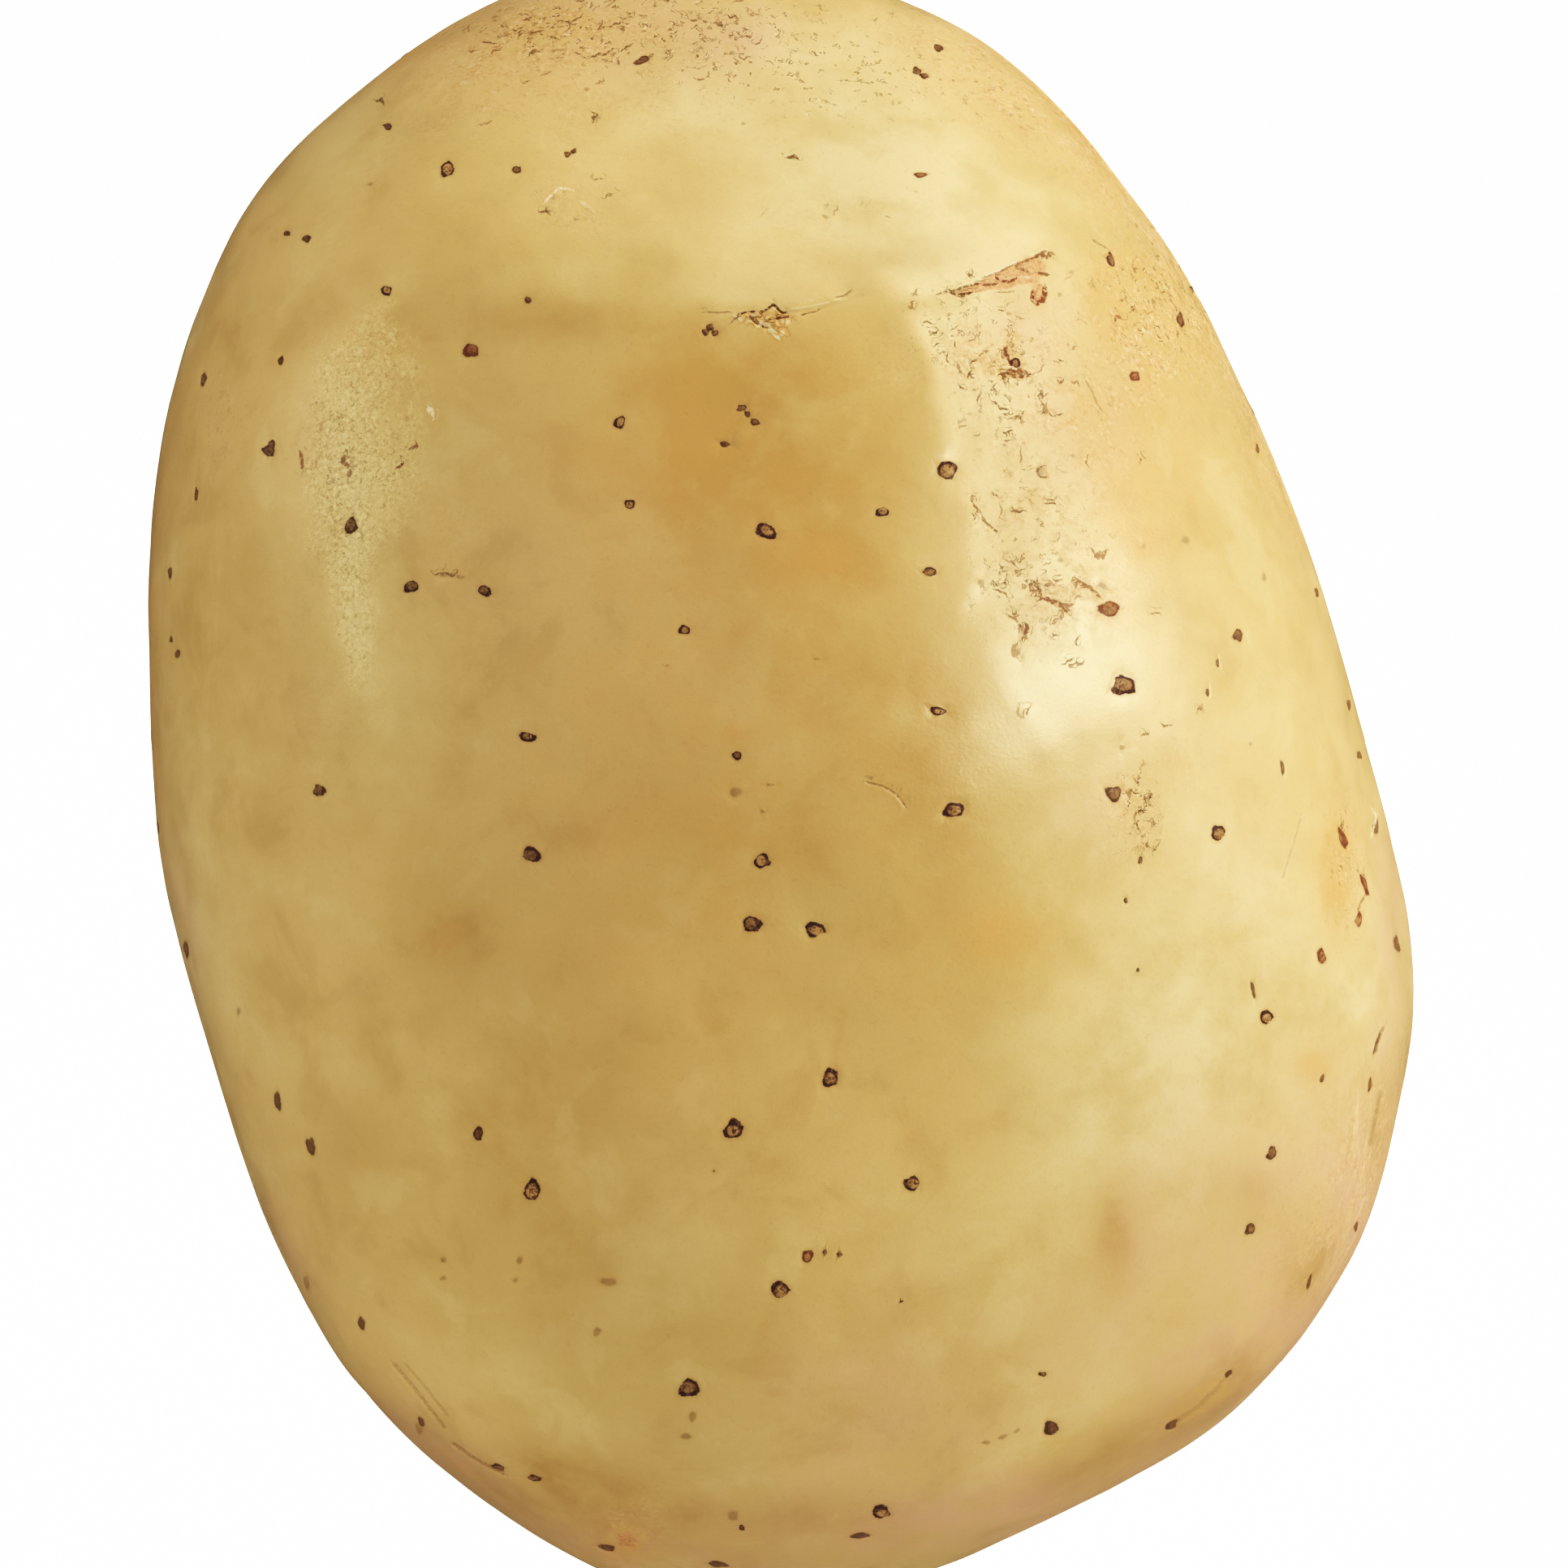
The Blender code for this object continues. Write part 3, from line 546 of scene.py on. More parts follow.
def gatherLenticels(tree):
    rng = random.Random(unseen["seed"])
    marks = []
    for kind, places in lenticels.items():
        for x, y, width, height, turn in places:
            angle = math.radians(turn)
            marks.append({
                "kind": kind, "seen": True, "centre": Vector((x, y, 0)),
                "across": Vector((math.cos(angle), math.sin(angle), 0)) * 2 / width,
                "along": Vector((-math.sin(angle), math.cos(angle), 0)) * 2 / height,
                "reach": max(width, height) / 2, "girth": min(width, height), "shape": markShape(rng),
                "heart": markHeart(rng), "fill": rng.uniform(*pore["heartFill"]),
            })
    placed = []
    for _ in range(unseen["tries"]):
        aim = Vector([rng.gauss(0, 1) for _ in range(3)])
        half = rng.uniform(*unseen["halfSize"])
        narrow = rng.uniform(*pore["narrow"])
        kind = rng.choice(unseen["kinds"])
        if kind == "slit":
            narrow *= pore["slit"]
        angle = rng.uniform(0, math.pi)
        shape, heart = markShape(rng), markHeart(rng)
        point, normal, side, up = skinFrame(tree, aim)
        if seenInPhotograph(point, normal) or len(placed) >= unseen["count"]:
            continue
        if any((point - other).length < unseen["apart"] for other in placed):
            continue
        placed.append(point)
        marks.append({
            "kind": kind, "seen": False, "centre": point,
            "across": (side * math.cos(angle) + up * math.sin(angle)) / half,
            "along": (up * math.cos(angle) - side * math.sin(angle)) / (half * narrow),
            "reach": half, "shape": shape, "heart": heart, "fill": rng.uniform(*pore["heartFill"]),
        })
    return marks


def roundsOf(mark, place):  # 0 at a lenticel's middle, 1 at its rim, and the same for its heart
    offset = place - mark["centre"]
    s, t = offset.dot(mark["across"]), offset.dot(mark["along"])
    angle = math.atan2(t, s)
    lobes = 1 + sum(size * math.cos(turns * angle + start) for turns, size, start in mark["shape"])
    heartS, heartT, halfS, halfT = mark["heart"]
    return math.hypot(s, t) / lobes, math.hypot((s - heartS) / halfS, (t - heartT) / halfT)


def crookedLine(rng, x, y, width, height, turn):  # a fleck's path, and its girth
    angle = math.radians(turn + (90 if height > width else 0))
    half, girth = max(width, height) / 2, min(width, height)
    points = []
    for along in (-1, -0.5, 0, 0.5, 1):
        aside = girth * rng.uniform(-0.5, 0.5)
        points.append((x + math.cos(angle) * half * along - math.sin(angle) * aside,
                       y + math.sin(angle) * half * along + math.cos(angle) * aside))
    return points, girth


def gatherLines():  # path, half width, depth, strength and redness, which is below 0 on a pale line
    rng = random.Random(crowds["seed"])
    made = list(creases)
    made += [(path, half, -paleRise, paleAndPaintedLight, -1) for path, half, paleAndPaintedLight in paleLines]
    for kind, places in flecks.items():
        dark, red, share = fleckLooks[kind]
        for place in places:
            path, girth = crookedLine(rng, *place)
            half = max(thinnestFleck, girth * share)
            made.append((path, half, 0, dark * rng.uniform(*fleckDarkness), red))
    _, red, _ = fleckLooks["brown"]
    for x, y, halfWidth, halfHeight, count, dark in crowds["places"]:
        for _ in range(count):
            spot = (rng.gauss(x, halfWidth / crowds["bunching"]),
                    rng.gauss(y, halfHeight / crowds["bunching"]))
            size = (rng.uniform(*crowds["length"]), rng.uniform(*crowds["girth"]))
            path, _ = crookedLine(rng, *spot, *size, rng.gauss(*crowds["turn"]))
            made.append((path, crowds["halfWidth"], 0, dark * rng.uniform(*crowds["darkness"]),
                         red + rng.uniform(*crowds["redness"])))
    return made


def stepsAlong(path, step):  # points at even steps along a line of pixels
    for (x0, y0), (x1, y1) in zip(path, path[1:]):
        count = max(1, round(math.hypot(x1 - x0, y1 - y0) / step))
        for i in range(count + 1):
            yield Vector((x0 + (x1 - x0) * i / count, y0 + (y1 - y0) * i / count, 0))


def offLine(path, place):  # distance from a line of pixels, which side, and how far along
    best, side, along = 1e9, 1, 0
    for i, ((x0, y0), (x1, y1)) in enumerate(zip(path, path[1:])):
        run = Vector((x1 - x0, y1 - y0))
        t = min(max(((place.x - x0) * run.x + (place.y - y0) * run.y) / run.length_squared, 0), 1)
        away = Vector((place.x - x0 - run.x * t, place.y - y0 - run.y * t))
        if away.length < best:
            best, along = away.length, i + t
            side = math.copysign(1, run.x * away.y - run.y * away.x)
    return best, side, along


# finer mesh where the skin has detail
fine = {
    "rounds": 2,
    "finestRounds": 3,
    "small": 9,  # pixels: a lenticel narrower than this gets the finest mesh
    "spread": 1.15,  # how far past a mark's rim, as a share of its size
    "margin": 2,  # and in pixels
    "lineMargin": 4,
    "edge": (9.5, 0.4 * mm),  # how far the first round reaches past that, in pixels and in space
    "lineStep": 5,
    "easing": 2,
}


def treesOf(bm):  # the mesh's points in space, and where the camera sees them
    bm.verts.ensure_lookup_table()
    bm.verts.index_update()
    bm.normal_update()
    inSpace = kdtree.KDTree(len(bm.verts))
    inPicture = kdtree.KDTree(len(bm.verts))
    pixels = {}
    for vert in bm.verts:
        inSpace.insert(vert.co, vert.index)
        if vert.normal.dot((cameraAt - vert.co).normalized()) > shot["justSeen"]:
            pixels[vert.index] = pixelOf(vert.co)
            inPicture.insert(pixels[vert.index], vert.index)
    inSpace.balance()
    inPicture.balance()
    return inSpace, inPicture, pixels


def detailZones(marks, lines, eyes):  # in the photograph or in space, middle, reach, rounds
    zones = []
    for mark in marks:
        margin = fine["margin"] if mark["seen"] else 0
        small = mark["seen"] and mark["girth"] < fine["small"] and mark["kind"] != "faint"
        zones.append((mark["seen"], mark["centre"], mark["reach"] * fine["spread"] + margin,
                      fine["finestRounds" if small else "rounds"]))
    for path, half, depth, *_ in lines:
        rounds = fine["finestRounds" if depth else "rounds"]
        zones += [(True, place, half + fine["lineMargin"], rounds)
                  for place in stepsAlong(path, fine["lineStep"])]
    for x, y, halfWidth, halfHeight, *_ in stains["scar"]:
        zones.append((True, Vector((x, y, 0)), max(halfWidth, halfHeight), fine["rounds"]))
    zones += [(False, eye[0], hiddenEyes["reach"], fine["rounds"]) for eye in eyes]
    return zones


def refine(bm, zones):
    for turn in range(fine["finestRounds"]):
        inSpace, inPicture, _ = treesOf(bm)
        past = [edge / 2 ** turn for edge in fine["edge"]]
        near = set()
        for seen, centre, reach, rounds in zones:
            if turn >= rounds:
                continue
            if seen:
                found = inPicture.find_range(centre, reach + past[0])
            else:
                found = inSpace.find_range(centre, reach + past[1])
            near.update(index for _, index, _ in found)
        edges = [edge for edge in bm.edges
                 if edge.verts[0].index in near and edge.verts[1].index in near]
        made = bmesh.ops.subdivide_edges(bm, edges=edges, cuts=1)
        bmesh.ops.triangulate(bm, faces=[face for face in bm.faces if len(face.verts) > 3])
        added = [part for part in made["geom_inner"] if isinstance(part, bmesh.types.BMVert)]
        for _ in range(fine["easing"]):
            bmesh.ops.smooth_vert(
                bm, verts=added, factor=0.5, use_axis_x=True, use_axis_y=True, use_axis_z=True
            )


# relief and what the shader reads, point by point
def waves(point):
    return sum(height * noise.noise(point / size + start)
               for height, size, start in (skin["swell"], skin["dimples"], skin["pebbles"]))


def printLenticels(bm, marks, inSpace, inPicture, pixels, layers, push):
    for mark in marks:
        rim, heart, red, depth = lenticelLooks[mark["kind"]]
        tree = inPicture if mark["seen"] else inSpace
        for _, index, _ in tree.find_range(mark["centre"], mark["reach"] * 3):
            vert = bm.verts[index]
            place = pixels[index] if mark["seen"] else vert.co
            r, core = roundsOf(mark, place)
            if r / 2 >= vert[layers["poreRound"]] or r > pore["printed"]:
                continue
            vert[layers["poreRound"]] = r / 2
            vert[layers["poreCore"]] = min(core / 2, pore["away"])
            vert[layers["poreRim"]] = rim
            vert[layers["poreHeart"]] = heart * mark["fill"]
            vert[layers["poreRed"]] = red
            groove = math.exp(-(((r - 1) / pore["groove"]) ** 2))
            dome = max(0.0, 1 - r * r) * (pore["dome"][0] + heart * pore["dome"][1])
            push[index] += depth * (dome - groove)


lineForm = {
    "gate": (1.5, 5.0),  # pixels past a line's edge where it starts and ends to fade
    "lip": (0.35, 2.2),  # height and place of its raised edge, as shares of its depth and half width
    "away": 5,  # what the shader reads where there is no line
}


def printLines(bm, lines, inPicture, pixels, layers, push):
    nearest = {}
    gateFrom, gateTo = lineForm["gate"]
    lipHeight, lipPlace = lineForm["lip"]
    for path, half, depth, strength, red in lines:
        found = set()
        for place in stepsAlong(path, fine["lineStep"]):
            found.update(index for _, index, _ in inPicture.find_range(place, half + 2 * gateTo))
        for index in found:
            away, side, _ = offLine(path, pixels[index])
            cut = math.exp(-((away / half) ** 2))
            lip = math.exp(-((away / half - lipPlace) ** 2)) * side
            push[index] += depth * (lipHeight * lip - cut)
            past = away - half
            if past < min(nearest.get(index, gateTo), gateTo):
                nearest[index] = past
                vert = bm.verts[index]
                vert[layers["lineOffset"]] = side * away / half
                vert[layers["lineStrength"]] = strength * (1 - smooth(gateFrom, gateTo, past))
                vert[layers["lineRed"]] = red


def bendShoulder(bm, pixels, layers, push):
    path = [(x, y) for x, y, _ in shoulder["path"]]
    amounts = [amount for _, _, amount in shoulder["path"]]
    height, half = shoulder["crest"]
    depth, steep, backFrom, backTo = shoulder["drop"]
    lightFrom, lightTo, fadeFrom, fadeTo = shoulder["paleAndPaintedLight"]
    wander, wanderSize = shoulder["wander"]
    for index, place in pixels.items():
        if place.x < path[0][0] - half or place.y > path[-1][1] + half:
            continue
        away, side, along = offLine(path, place)
        if away > backTo:
            continue
        first = min(int(along), len(path) - 2)
        amount = amounts[first] + (amounts[first + 1] - amounts[first]) * (along - first)
        past = -side * away  # the stem end and the right flank lie past the bend
        past += wander * noise.noise(place / wanderSize)
        push[index] += height * amount * math.exp(-((past / half) ** 2))
        if past > 0:
            gone = 1 - math.exp(-past / steep)
            push[index] -= depth * amount * gone * (1 - smooth(backFrom, backTo, past))
        # painted light past the bend, where the stem end and the right flank face the lights
        paintedLight = smooth(lightFrom, lightTo, past) * (1 - smooth(fadeFrom, fadeTo, past))
        bm.verts[index][layers["paleAndPaintedLight"]] += amount * paintedLight


stainFade = (-0.4, 0.0)  # facing the camera: stains fade out past the outline, from none to full
stainReach = 3.2  # in half sizes


def stainFields(bm, layers):
    places = []
    for vert in bm.verts:
        share = smooth(*stainFade, vert.normal.dot((cameraAt - vert.co).normalized()))
        if share > 0:
            places.append((vert, pixelOf(vert.co), share))
    for name, spots in stains.items():
        layer = layers[name]
        for x, y, halfWidth, halfHeight, turn, strength in spots:
            cos, sin = math.cos(math.radians(turn)), math.sin(math.radians(turn))
            for vert, place, share in places:
                dx, dy = place.x - x, place.y - y
                if abs(dx) + abs(dy) > stainReach * (halfWidth + halfHeight):
                    continue
                s = (dx * cos + dy * sin) / halfWidth
                t = (dy * cos - dx * sin) / halfHeight
                vert[layer] += strength * share * math.exp(-(s * s + t * t))


# the same kinds of stain where the photograph doesn't show the skin
hiddenStains = {  # size, strength, place in the noise
    "warm": (17 * mm, 0.7, Vector((3, 11, 6))),
    "smudgeAndShade": (9 * mm, 0.8, Vector((12, 2, 8))),
    "russet": (15 * mm, 1.0, Vector((7, 5, 1))),
    "patch": (10 * mm, 0.8, Vector((4, 13, 9))),
    "fleck": (12 * mm, 1.0, Vector((1, 9, 15))),
    "grit": (14 * mm, 0.9, Vector((21, 4, 2))),
}
hiddenFade = {
    "facing": 0.3,  # they start where the skin faces the camera less than this, and are full at 0
    "pastEdge": 60,  # past the photograph's edge they are full after this many pixels
    "level": (0.05, 0.6),  # of the noise, from none to full
}


def hiddenFields(bm, layers):
    for vert in bm.verts:
        y = pixelOf(vert.co).y
        facing = vert.normal.dot((cameraAt - vert.co).normalized())
        outside = max(-y, y - shot["side"], 0) / hiddenFade["pastEdge"]
        unseenShare = max(1 - smooth(0.0, hiddenFade["facing"], facing), min(outside, 1))
        if unseenShare <= 0:
            continue
        for name, (size, strength, start) in hiddenStains.items():
            amount = smooth(*hiddenFade["level"], noise.noise(vert.co / size + start))
            vert[layers[name]] += strength * amount * unseenShare


def formEyes(bm, eyes, inSpace, layers, push):
    halfLength, halfWidth, height = hiddenEyes["bud"]
    even, uneven = hiddenEyes["budUneven"]
    wobbleShare, wobbleSize = hiddenEyes["wobble"]
    stainShare, stainWidth = hiddenEyes["stain"]
    tornSize, tornStrength = hiddenEyes["torn"]
    for point, _, across, stemward, brow in eyes:
        for _, index, _ in inSpace.find_range(point, brow * 1.2):
            vert = bm.verts[index]
            offset = vert.co - point
            a, b = offset.dot(across), offset.dot(stemward)
            past = b - hiddenEyes["browCurve"] * a * a
            fade = math.exp(-hiddenEyes["browFade"] * (a / brow) ** 2)
            wobble = 1 + wobbleShare * noise.noise(vert.co / wobbleSize)
            cut = math.exp(-((past / (hiddenEyes["creaseHalf"] * wobble)) ** 2)) * fade
            away = math.hypot(a / halfLength, b / halfWidth + hiddenEyes["budBelow"])
            bud = max(0.0, 1 - away * away)
            push[index] += height * bud * (even + uneven * wobble) - hiddenEyes["creaseDepth"] * cut
            vert[layers["crease"]] = max(vert[layers["crease"]], hiddenEyes["creaseDark"] * cut)
            near = math.exp(-((a / (stainShare * brow)) ** 2) - (b / stainWidth) ** 2)
            for name, strength in hiddenEyes["stainStrengths"].items():
                vert[layers[name]] += strength * near
            vert[layers["scar"]] += math.exp(-((away / tornSize) ** 4)) * tornStrength


def flakeRelief(bm, layers, push):
    for vert in bm.verts:
        amount = min(vert[layers["scar"]], 1.0)
        if amount > flakeForm["least"]:
            near = noise.voronoi(vert.co / flakeForm["size"])[0]
            edge = smooth(0.0, flakeForm["edge"], near[1] - near[0])
            push[vert.index] += amount * flakeForm["height"] * (edge - flakeForm["level"])


def growSkin():
    bm = laySkin()
    tree = BVHTree.FromBMesh(bm)
    marks = gatherLenticels(tree)
    eyes = [(*skinFrame(tree, eyeAim(along, around)), brow * mm)
            for along, around, brow in hiddenEyes["places"]]
    lines = gatherLines()
    refine(bm, detailZones(marks, lines, eyes))
    print("skin laid:", len(bm.faces), "faces,", len(marks), "lenticels,", len(lines), "lines")
    names = ("poreRound", "poreCore", "poreRim", "poreHeart", "poreRed", "lineOffset", "lineStrength",
             "lineRed", "crease", *stains)
    layers = {name: bm.verts.layers.float.new(name) for name in names}
    inSpace, inPicture, pixels = treesOf(bm)
    for vert in bm.verts:
        vert[layers["poreRound"]] = pore["away"]
        vert[layers["poreCore"]] = pore["away"]
        vert[layers["lineOffset"]] = lineForm["away"]
    push = [waves(vert.co) for vert in bm.verts]
    printLenticels(bm, marks, inSpace, inPicture, pixels, layers, push)
    printLines(bm, lines, inPicture, pixels, layers, push)
    bendShoulder(bm, pixels, layers, push)
    stainFields(bm, layers)
    hiddenFields(bm, layers)
    formEyes(bm, eyes, inSpace, layers, push)
    flakeRelief(bm, layers, push)
    low, high = cadBox
    for vert in bm.verts:
        level = smooth(0.0, skin["flatBelow"], vert.co.z)
        vert.co += vert.normal * push[vert.index] * level
        vert.co = Vector([min(max(vert.co[i], low[i]), high[i]) for i in range(3)])
    print("relief and colour fields made")
    return bm


# materials
def rgb(red, green, blue):  # a colour as a screen shows it, for the shader
    def linear(value):
        value /= 255
        return value / 12.92 if value <= 0.04045 else ((value + 0.055) / 1.055) ** 2.4
    return (linear(red), linear(green), linear(blue), 1.0)


def tie(tree, socket, value):
    if isinstance(value, bpy.types.NodeSocket):
        tree.links.new(value, socket)
    else:
        socket.default_value = value


def sums(tree, operation, first, second=0.0):
    step = tree.nodes.new("ShaderNodeMath")
    step.operation = operation
    tie(tree, step.inputs[0], first)
    tie(tree, step.inputs[1], second)
    return step.outputs[0]


def times(tree, first, second):
    return sums(tree, "MULTIPLY", first, second)


def plus(tree, first, second):
    return sums(tree, "ADD", first, second)


def span(tree, value, low, high, toLow=0.0, toHigh=1.0):  # an eased step from low to high
    step = tree.nodes.new("ShaderNodeMapRange")
    step.interpolation_type = "SMOOTHSTEP"
    for name, amount in (("Value", value), ("From Min", low), ("From Max", high),
                         ("To Min", toLow), ("To Max", toHigh)):
        tie(tree, step.inputs[name], amount)
    return step.outputs["Result"]


def mix(tree, factor, first, second):
    step = tree.nodes.new("ShaderNodeMix")
    step.data_type = "RGBA"
    tie(tree, step.inputs[0], factor)
    tie(tree, step.inputs[6], first)
    tie(tree, step.inputs[7], second)
    return step.outputs[2]


def cloud(tree, place, size, detail=2.0, roughness=0.5, distortion=0.0):  # noise, its waves this long
    step = tree.nodes.new("ShaderNodeTexNoise")
    tree.links.new(place, step.inputs["Vector"])
    step.inputs["Scale"].default_value = 1 / size
    step.inputs["Detail"].default_value = detail
    step.inputs["Roughness"].default_value = roughness
    step.inputs["Distortion"].default_value = distortion
    return step.outputs["Fac"]


def cells(tree, place, size, feature="F1"):  # distance to a cell's middle or to its edge
    step = tree.nodes.new("ShaderNodeTexVoronoi")
    step.feature = feature
    tree.links.new(place, step.inputs["Vector"])
    step.inputs["Scale"].default_value = 1 / size
    return step.outputs["Distance"]


def field(tree, name):
    step = tree.nodes.new("ShaderNodeAttribute")
    step.attribute_name = name
    return step.outputs["Fac"]


skinColours = {
    "gold": rgb(196, 162, 104),
    "straw": rgb(208, 174, 116),
    "olive": rgb(192, 163, 104),
    "warm": rgb(206, 154, 92),
    # brown smudges, also the colour of painted shade
    "smudgeAndShade": rgb(174, 137, 84),
    "russet": rgb(198, 154, 104),
    "tan": rgb(198, 156, 98),
    "net": rgb(116, 80, 34),
    "cork": rgb(64, 30, 28),
    "bark": rgb(82, 50, 30),
    "redCork": rgb(108, 46, 28),
    "dust": rgb(150, 112, 78),
    "heart": rgb(184, 144, 92),
    "flake": rgb(236, 214, 166),
    "crease": rgb(88, 54, 26),
    "rust": rgb(200, 146, 98),
    # sand, also painted on the rubbed patch as a glint
    "sandAndGlint": rgb(240, 222, 160),
    # the colour of the painted shade
    "paintedShade": rgb(181, 143, 86),
    "pink": rgb(204, 160, 124),
    # paler skin, also laid on as painted light
    "paleAndPaintedLight": rgb(220, 194, 138),
}


skinNoises = {  # length of the waves, detail, roughness, distortion
    "broad": (19 * mm, 2),
    "hue": (27 * mm, 1),
    "blotch": (5.2 * mm, 5, 0.62, 0.4),
    "mottle": (4.2 * mm, 4, 0.6),
    "scurf": (1.7 * mm, 4, 0.7, 0.6),
    "grain": (0.75 * mm, 3, 0.6),
    "gate": (0.62 * mm, 1),
    "wave": (0.44 * mm, 2, 0.6, 0.8),
    "ripple": (0.36 * mm, 1, 0.5, 1.0),
    "net": (0.3 * mm, 3, 0.7, 0.4),
    "grit": (0.27 * mm, 3, 0.75, 0.8),
    "fineGrain": (0.26 * mm, 2, 0.6),
}
drawnOut = {"scale": (1, 0.15, 0.6), "noise": (0.4 * mm, 3, 0.7, 0.3)}  # drawn out along the length
flakeSize = 0.5 * mm
shine = {
    "roughness": (0.3, 0.4),  # where the skin is washed and smooth
    "dull": 0.85,
    "ior": 1.45,
    "subsurface": 0.12,
    "depth": 2.5 * mm,
    "depthColour": (1.0, 0.55, 0.25),
    "coat": 0.12,
    "coatRoughness": 0.3,
    "bump": 0.05 * mm,
}


def skinLayers(tree):  # every noise that the layers of the skin read
    place = tree.nodes.new("ShaderNodeTexCoord").outputs["Object"]
    noises = {name: cloud(tree, place, *shape) for name, shape in skinNoises.items()}
    drawn = tree.nodes.new("ShaderNodeMapping")
    drawn.inputs["Scale"].default_value = drawnOut["scale"]
    tree.links.new(place, drawn.inputs["Vector"])
    noises["streaks"] = cloud(tree, drawn.outputs["Vector"], *drawnOut["noise"])
    noises["flakes"] = cells(tree, place, flakeSize)
    noises["gaps"] = cells(tree, place, flakeSize, "DISTANCE_TO_EDGE")
    return noises


def groundColour(tree, noises):
    look, mottle, blotch = skinColours, noises["mottle"], noises["blotch"]
    tone = plus(tree, times(tree, noises["broad"], 0.6), times(tree, mottle, 0.4))
    colour = mix(tree, span(tree, tone, 0.36, 0.64), look["gold"], look["straw"])
    colour = mix(tree, span(tree, noises["hue"], 0.5, 0.7, 0, 0.5), colour, look["olive"])
    colour = mix(tree, span(tree, blotch, 0.5, 0.68, 0, 0.34), colour, look["smudgeAndShade"])
    colour = mix(tree, span(tree, blotch, 0.34, 0.46, 0.28, 0), colour, look["paleAndPaintedLight"])
    patchy = span(tree, mottle, 0.3, 0.7, 0.4, 1.35)
    # stains, with painted light in the paler patches and painted shade in the deeper gold and some
    # smudges
    for name in ("paintedShade", "paleAndPaintedLight", "warm", "pink", "smudgeAndShade"):
        colour = mix(tree, times(tree, field(tree, name), patchy), colour, look[name])
    return colour


def roughSkin(tree, noises, colour):  # russet skin, tanned patches with an edge, and a fine net
    look, scurf, net = skinColours, noises["scurf"], noises["net"]
    rough = times(tree, field(tree, "russet"), span(tree, scurf, 0.4, 0.6, 0.1, 0.9))
    colour = mix(tree, times(tree, rough, 0.7), colour, look["russet"])
    tanEdge = plus(tree, field(tree, "patch"), times(tree, scurf, 1.1))
    tanned = span(tree, plus(tree, tanEdge, times(tree, noises["grain"], 0.3)), 1.05, 1.4)
    tanned = times(tree, tanned, span(tree, noises["mottle"], 0.35, 0.6, 0.4, 0.75))
    colour = mix(tree, tanned, colour, look["tan"])
    colour = mix(tree, times(tree, rough, span(tree, net, 0.53, 0.64, 0, 0.4)), colour, look["flake"])
    colour = mix(tree, times(tree, rough, span(tree, net, 0.36, 0.45, 0.4, 0)), colour, look["net"])
    return mix(tree, span(tree, noises["fineGrain"], 0.5, 0.75, 0, 0.12), colour, look["smudgeAndShade"]), rough


def drawnSkin(tree, noises, colour):  # skin drawn out in lines
    look, streaks, streaky = skinColours, noises["streaks"], field(tree, "streak")
    colour = mix(tree, times(tree, streaky, span(tree, streaks, 0.46, 0.7, 0, 0.3)), colour, look["sandAndGlint"])
    return mix(tree, times(tree, streaky, span(tree, streaks, 0.3, 0.5, 0.45, 0)), colour, look["russet"])


def rubbedSkin(tree, noises, colour):  # a sandy patch, its light specks partly a painted glint; its bump makes it glint under the lamp too
    look, grit, rubbed = skinColours, noises["grit"], field(tree, "grit")
    edge = plus(tree, rubbed, times(tree, noises["mottle"], 2.0))
    edge = plus(tree, edge, times(tree, noises["streaks"], 0.8))
    sandyGlint = span(tree, plus(tree, edge, times(tree, noises["scurf"], 1.4)), 2.3, 3.6)
    sandyGlint = times(tree, sandyGlint, span(tree, rubbed, 0.1, 0.5))
    colour = mix(tree, times(tree, sandyGlint, span(tree, grit, 0.44, 0.66, 0.12, 0.7)), colour, look["sandAndGlint"])
    return mix(tree, times(tree, sandyGlint, span(tree, grit, 0.34, 0.46, 0.5, 0)), colour, look["net"]), sandyGlint


def nearLevel(tree, value, level, low, high):  # 1 where a noise crosses a level, 0 away from it
    away = sums(tree, "ABSOLUTE", sums(tree, "SUBTRACT", value, level))
    return span(tree, away, low, high, 1, 0)


def strokes(tree, noises, colour):  # short curved strokes, their lifted edges lightened as a painted highlight
    fleck, wave = field(tree, "fleck"), noises["wave"]
    gate = span(tree, plus(tree, noises["gate"], times(tree, fleck, 0.08)), 0.62, 0.68)
    gate = times(tree, gate, span(tree, fleck, 0.0, 0.8, 0.07, 0.75))
    stroked = times(tree, nearLevel(tree, wave, 0.5, 0.02, 0.05), gate)
    liftedHighlight = times(tree, nearLevel(tree, wave, 0.57, 0.01, 0.04), times(tree, gate, 0.5))
    colour = mix(tree, stroked, colour, skinColours["net"])
    return mix(tree, liftedHighlight, colour, skinColours["flake"]), stroked


def eyeCorners(tree, noises, colour):  # orange brown, with red brown ripples
    edge = plus(tree, field(tree, "rust"), times(tree, noises["grain"], 0.7))
    rusty = span(tree, edge, 0.75, 1.05)
    rippled = times(tree, nearLevel(tree, noises["ripple"], 0.5, 0.01, 0.07), 0.4)
    colour = mix(tree, times(tree, rusty, 0.8), colour, skinColours["rust"])
    return mix(tree, times(tree, rusty, rippled), colour, skinColours["redCork"])


def tornSkin(tree, noises, colour):  # pale flakes with dark gaps
    look, grain = skinColours, noises["grain"]
    torn = span(tree, plus(tree, field(tree, "scar"), times(tree, grain, 0.9)), 0.8, 1.0)
    tone = plus(tree, noises["flakes"], times(tree, grain, 0.6))
    flakes = mix(tree, span(tree, tone, 0.35, 0.75), look["flake"], look["warm"])
    flakes = mix(tree, span(tree, noises["gaps"], 0.02, 0.09, 0.7, 0), flakes, look["crease"])
    return mix(tree, times(tree, torn, 0.6), colour, flakes), torn


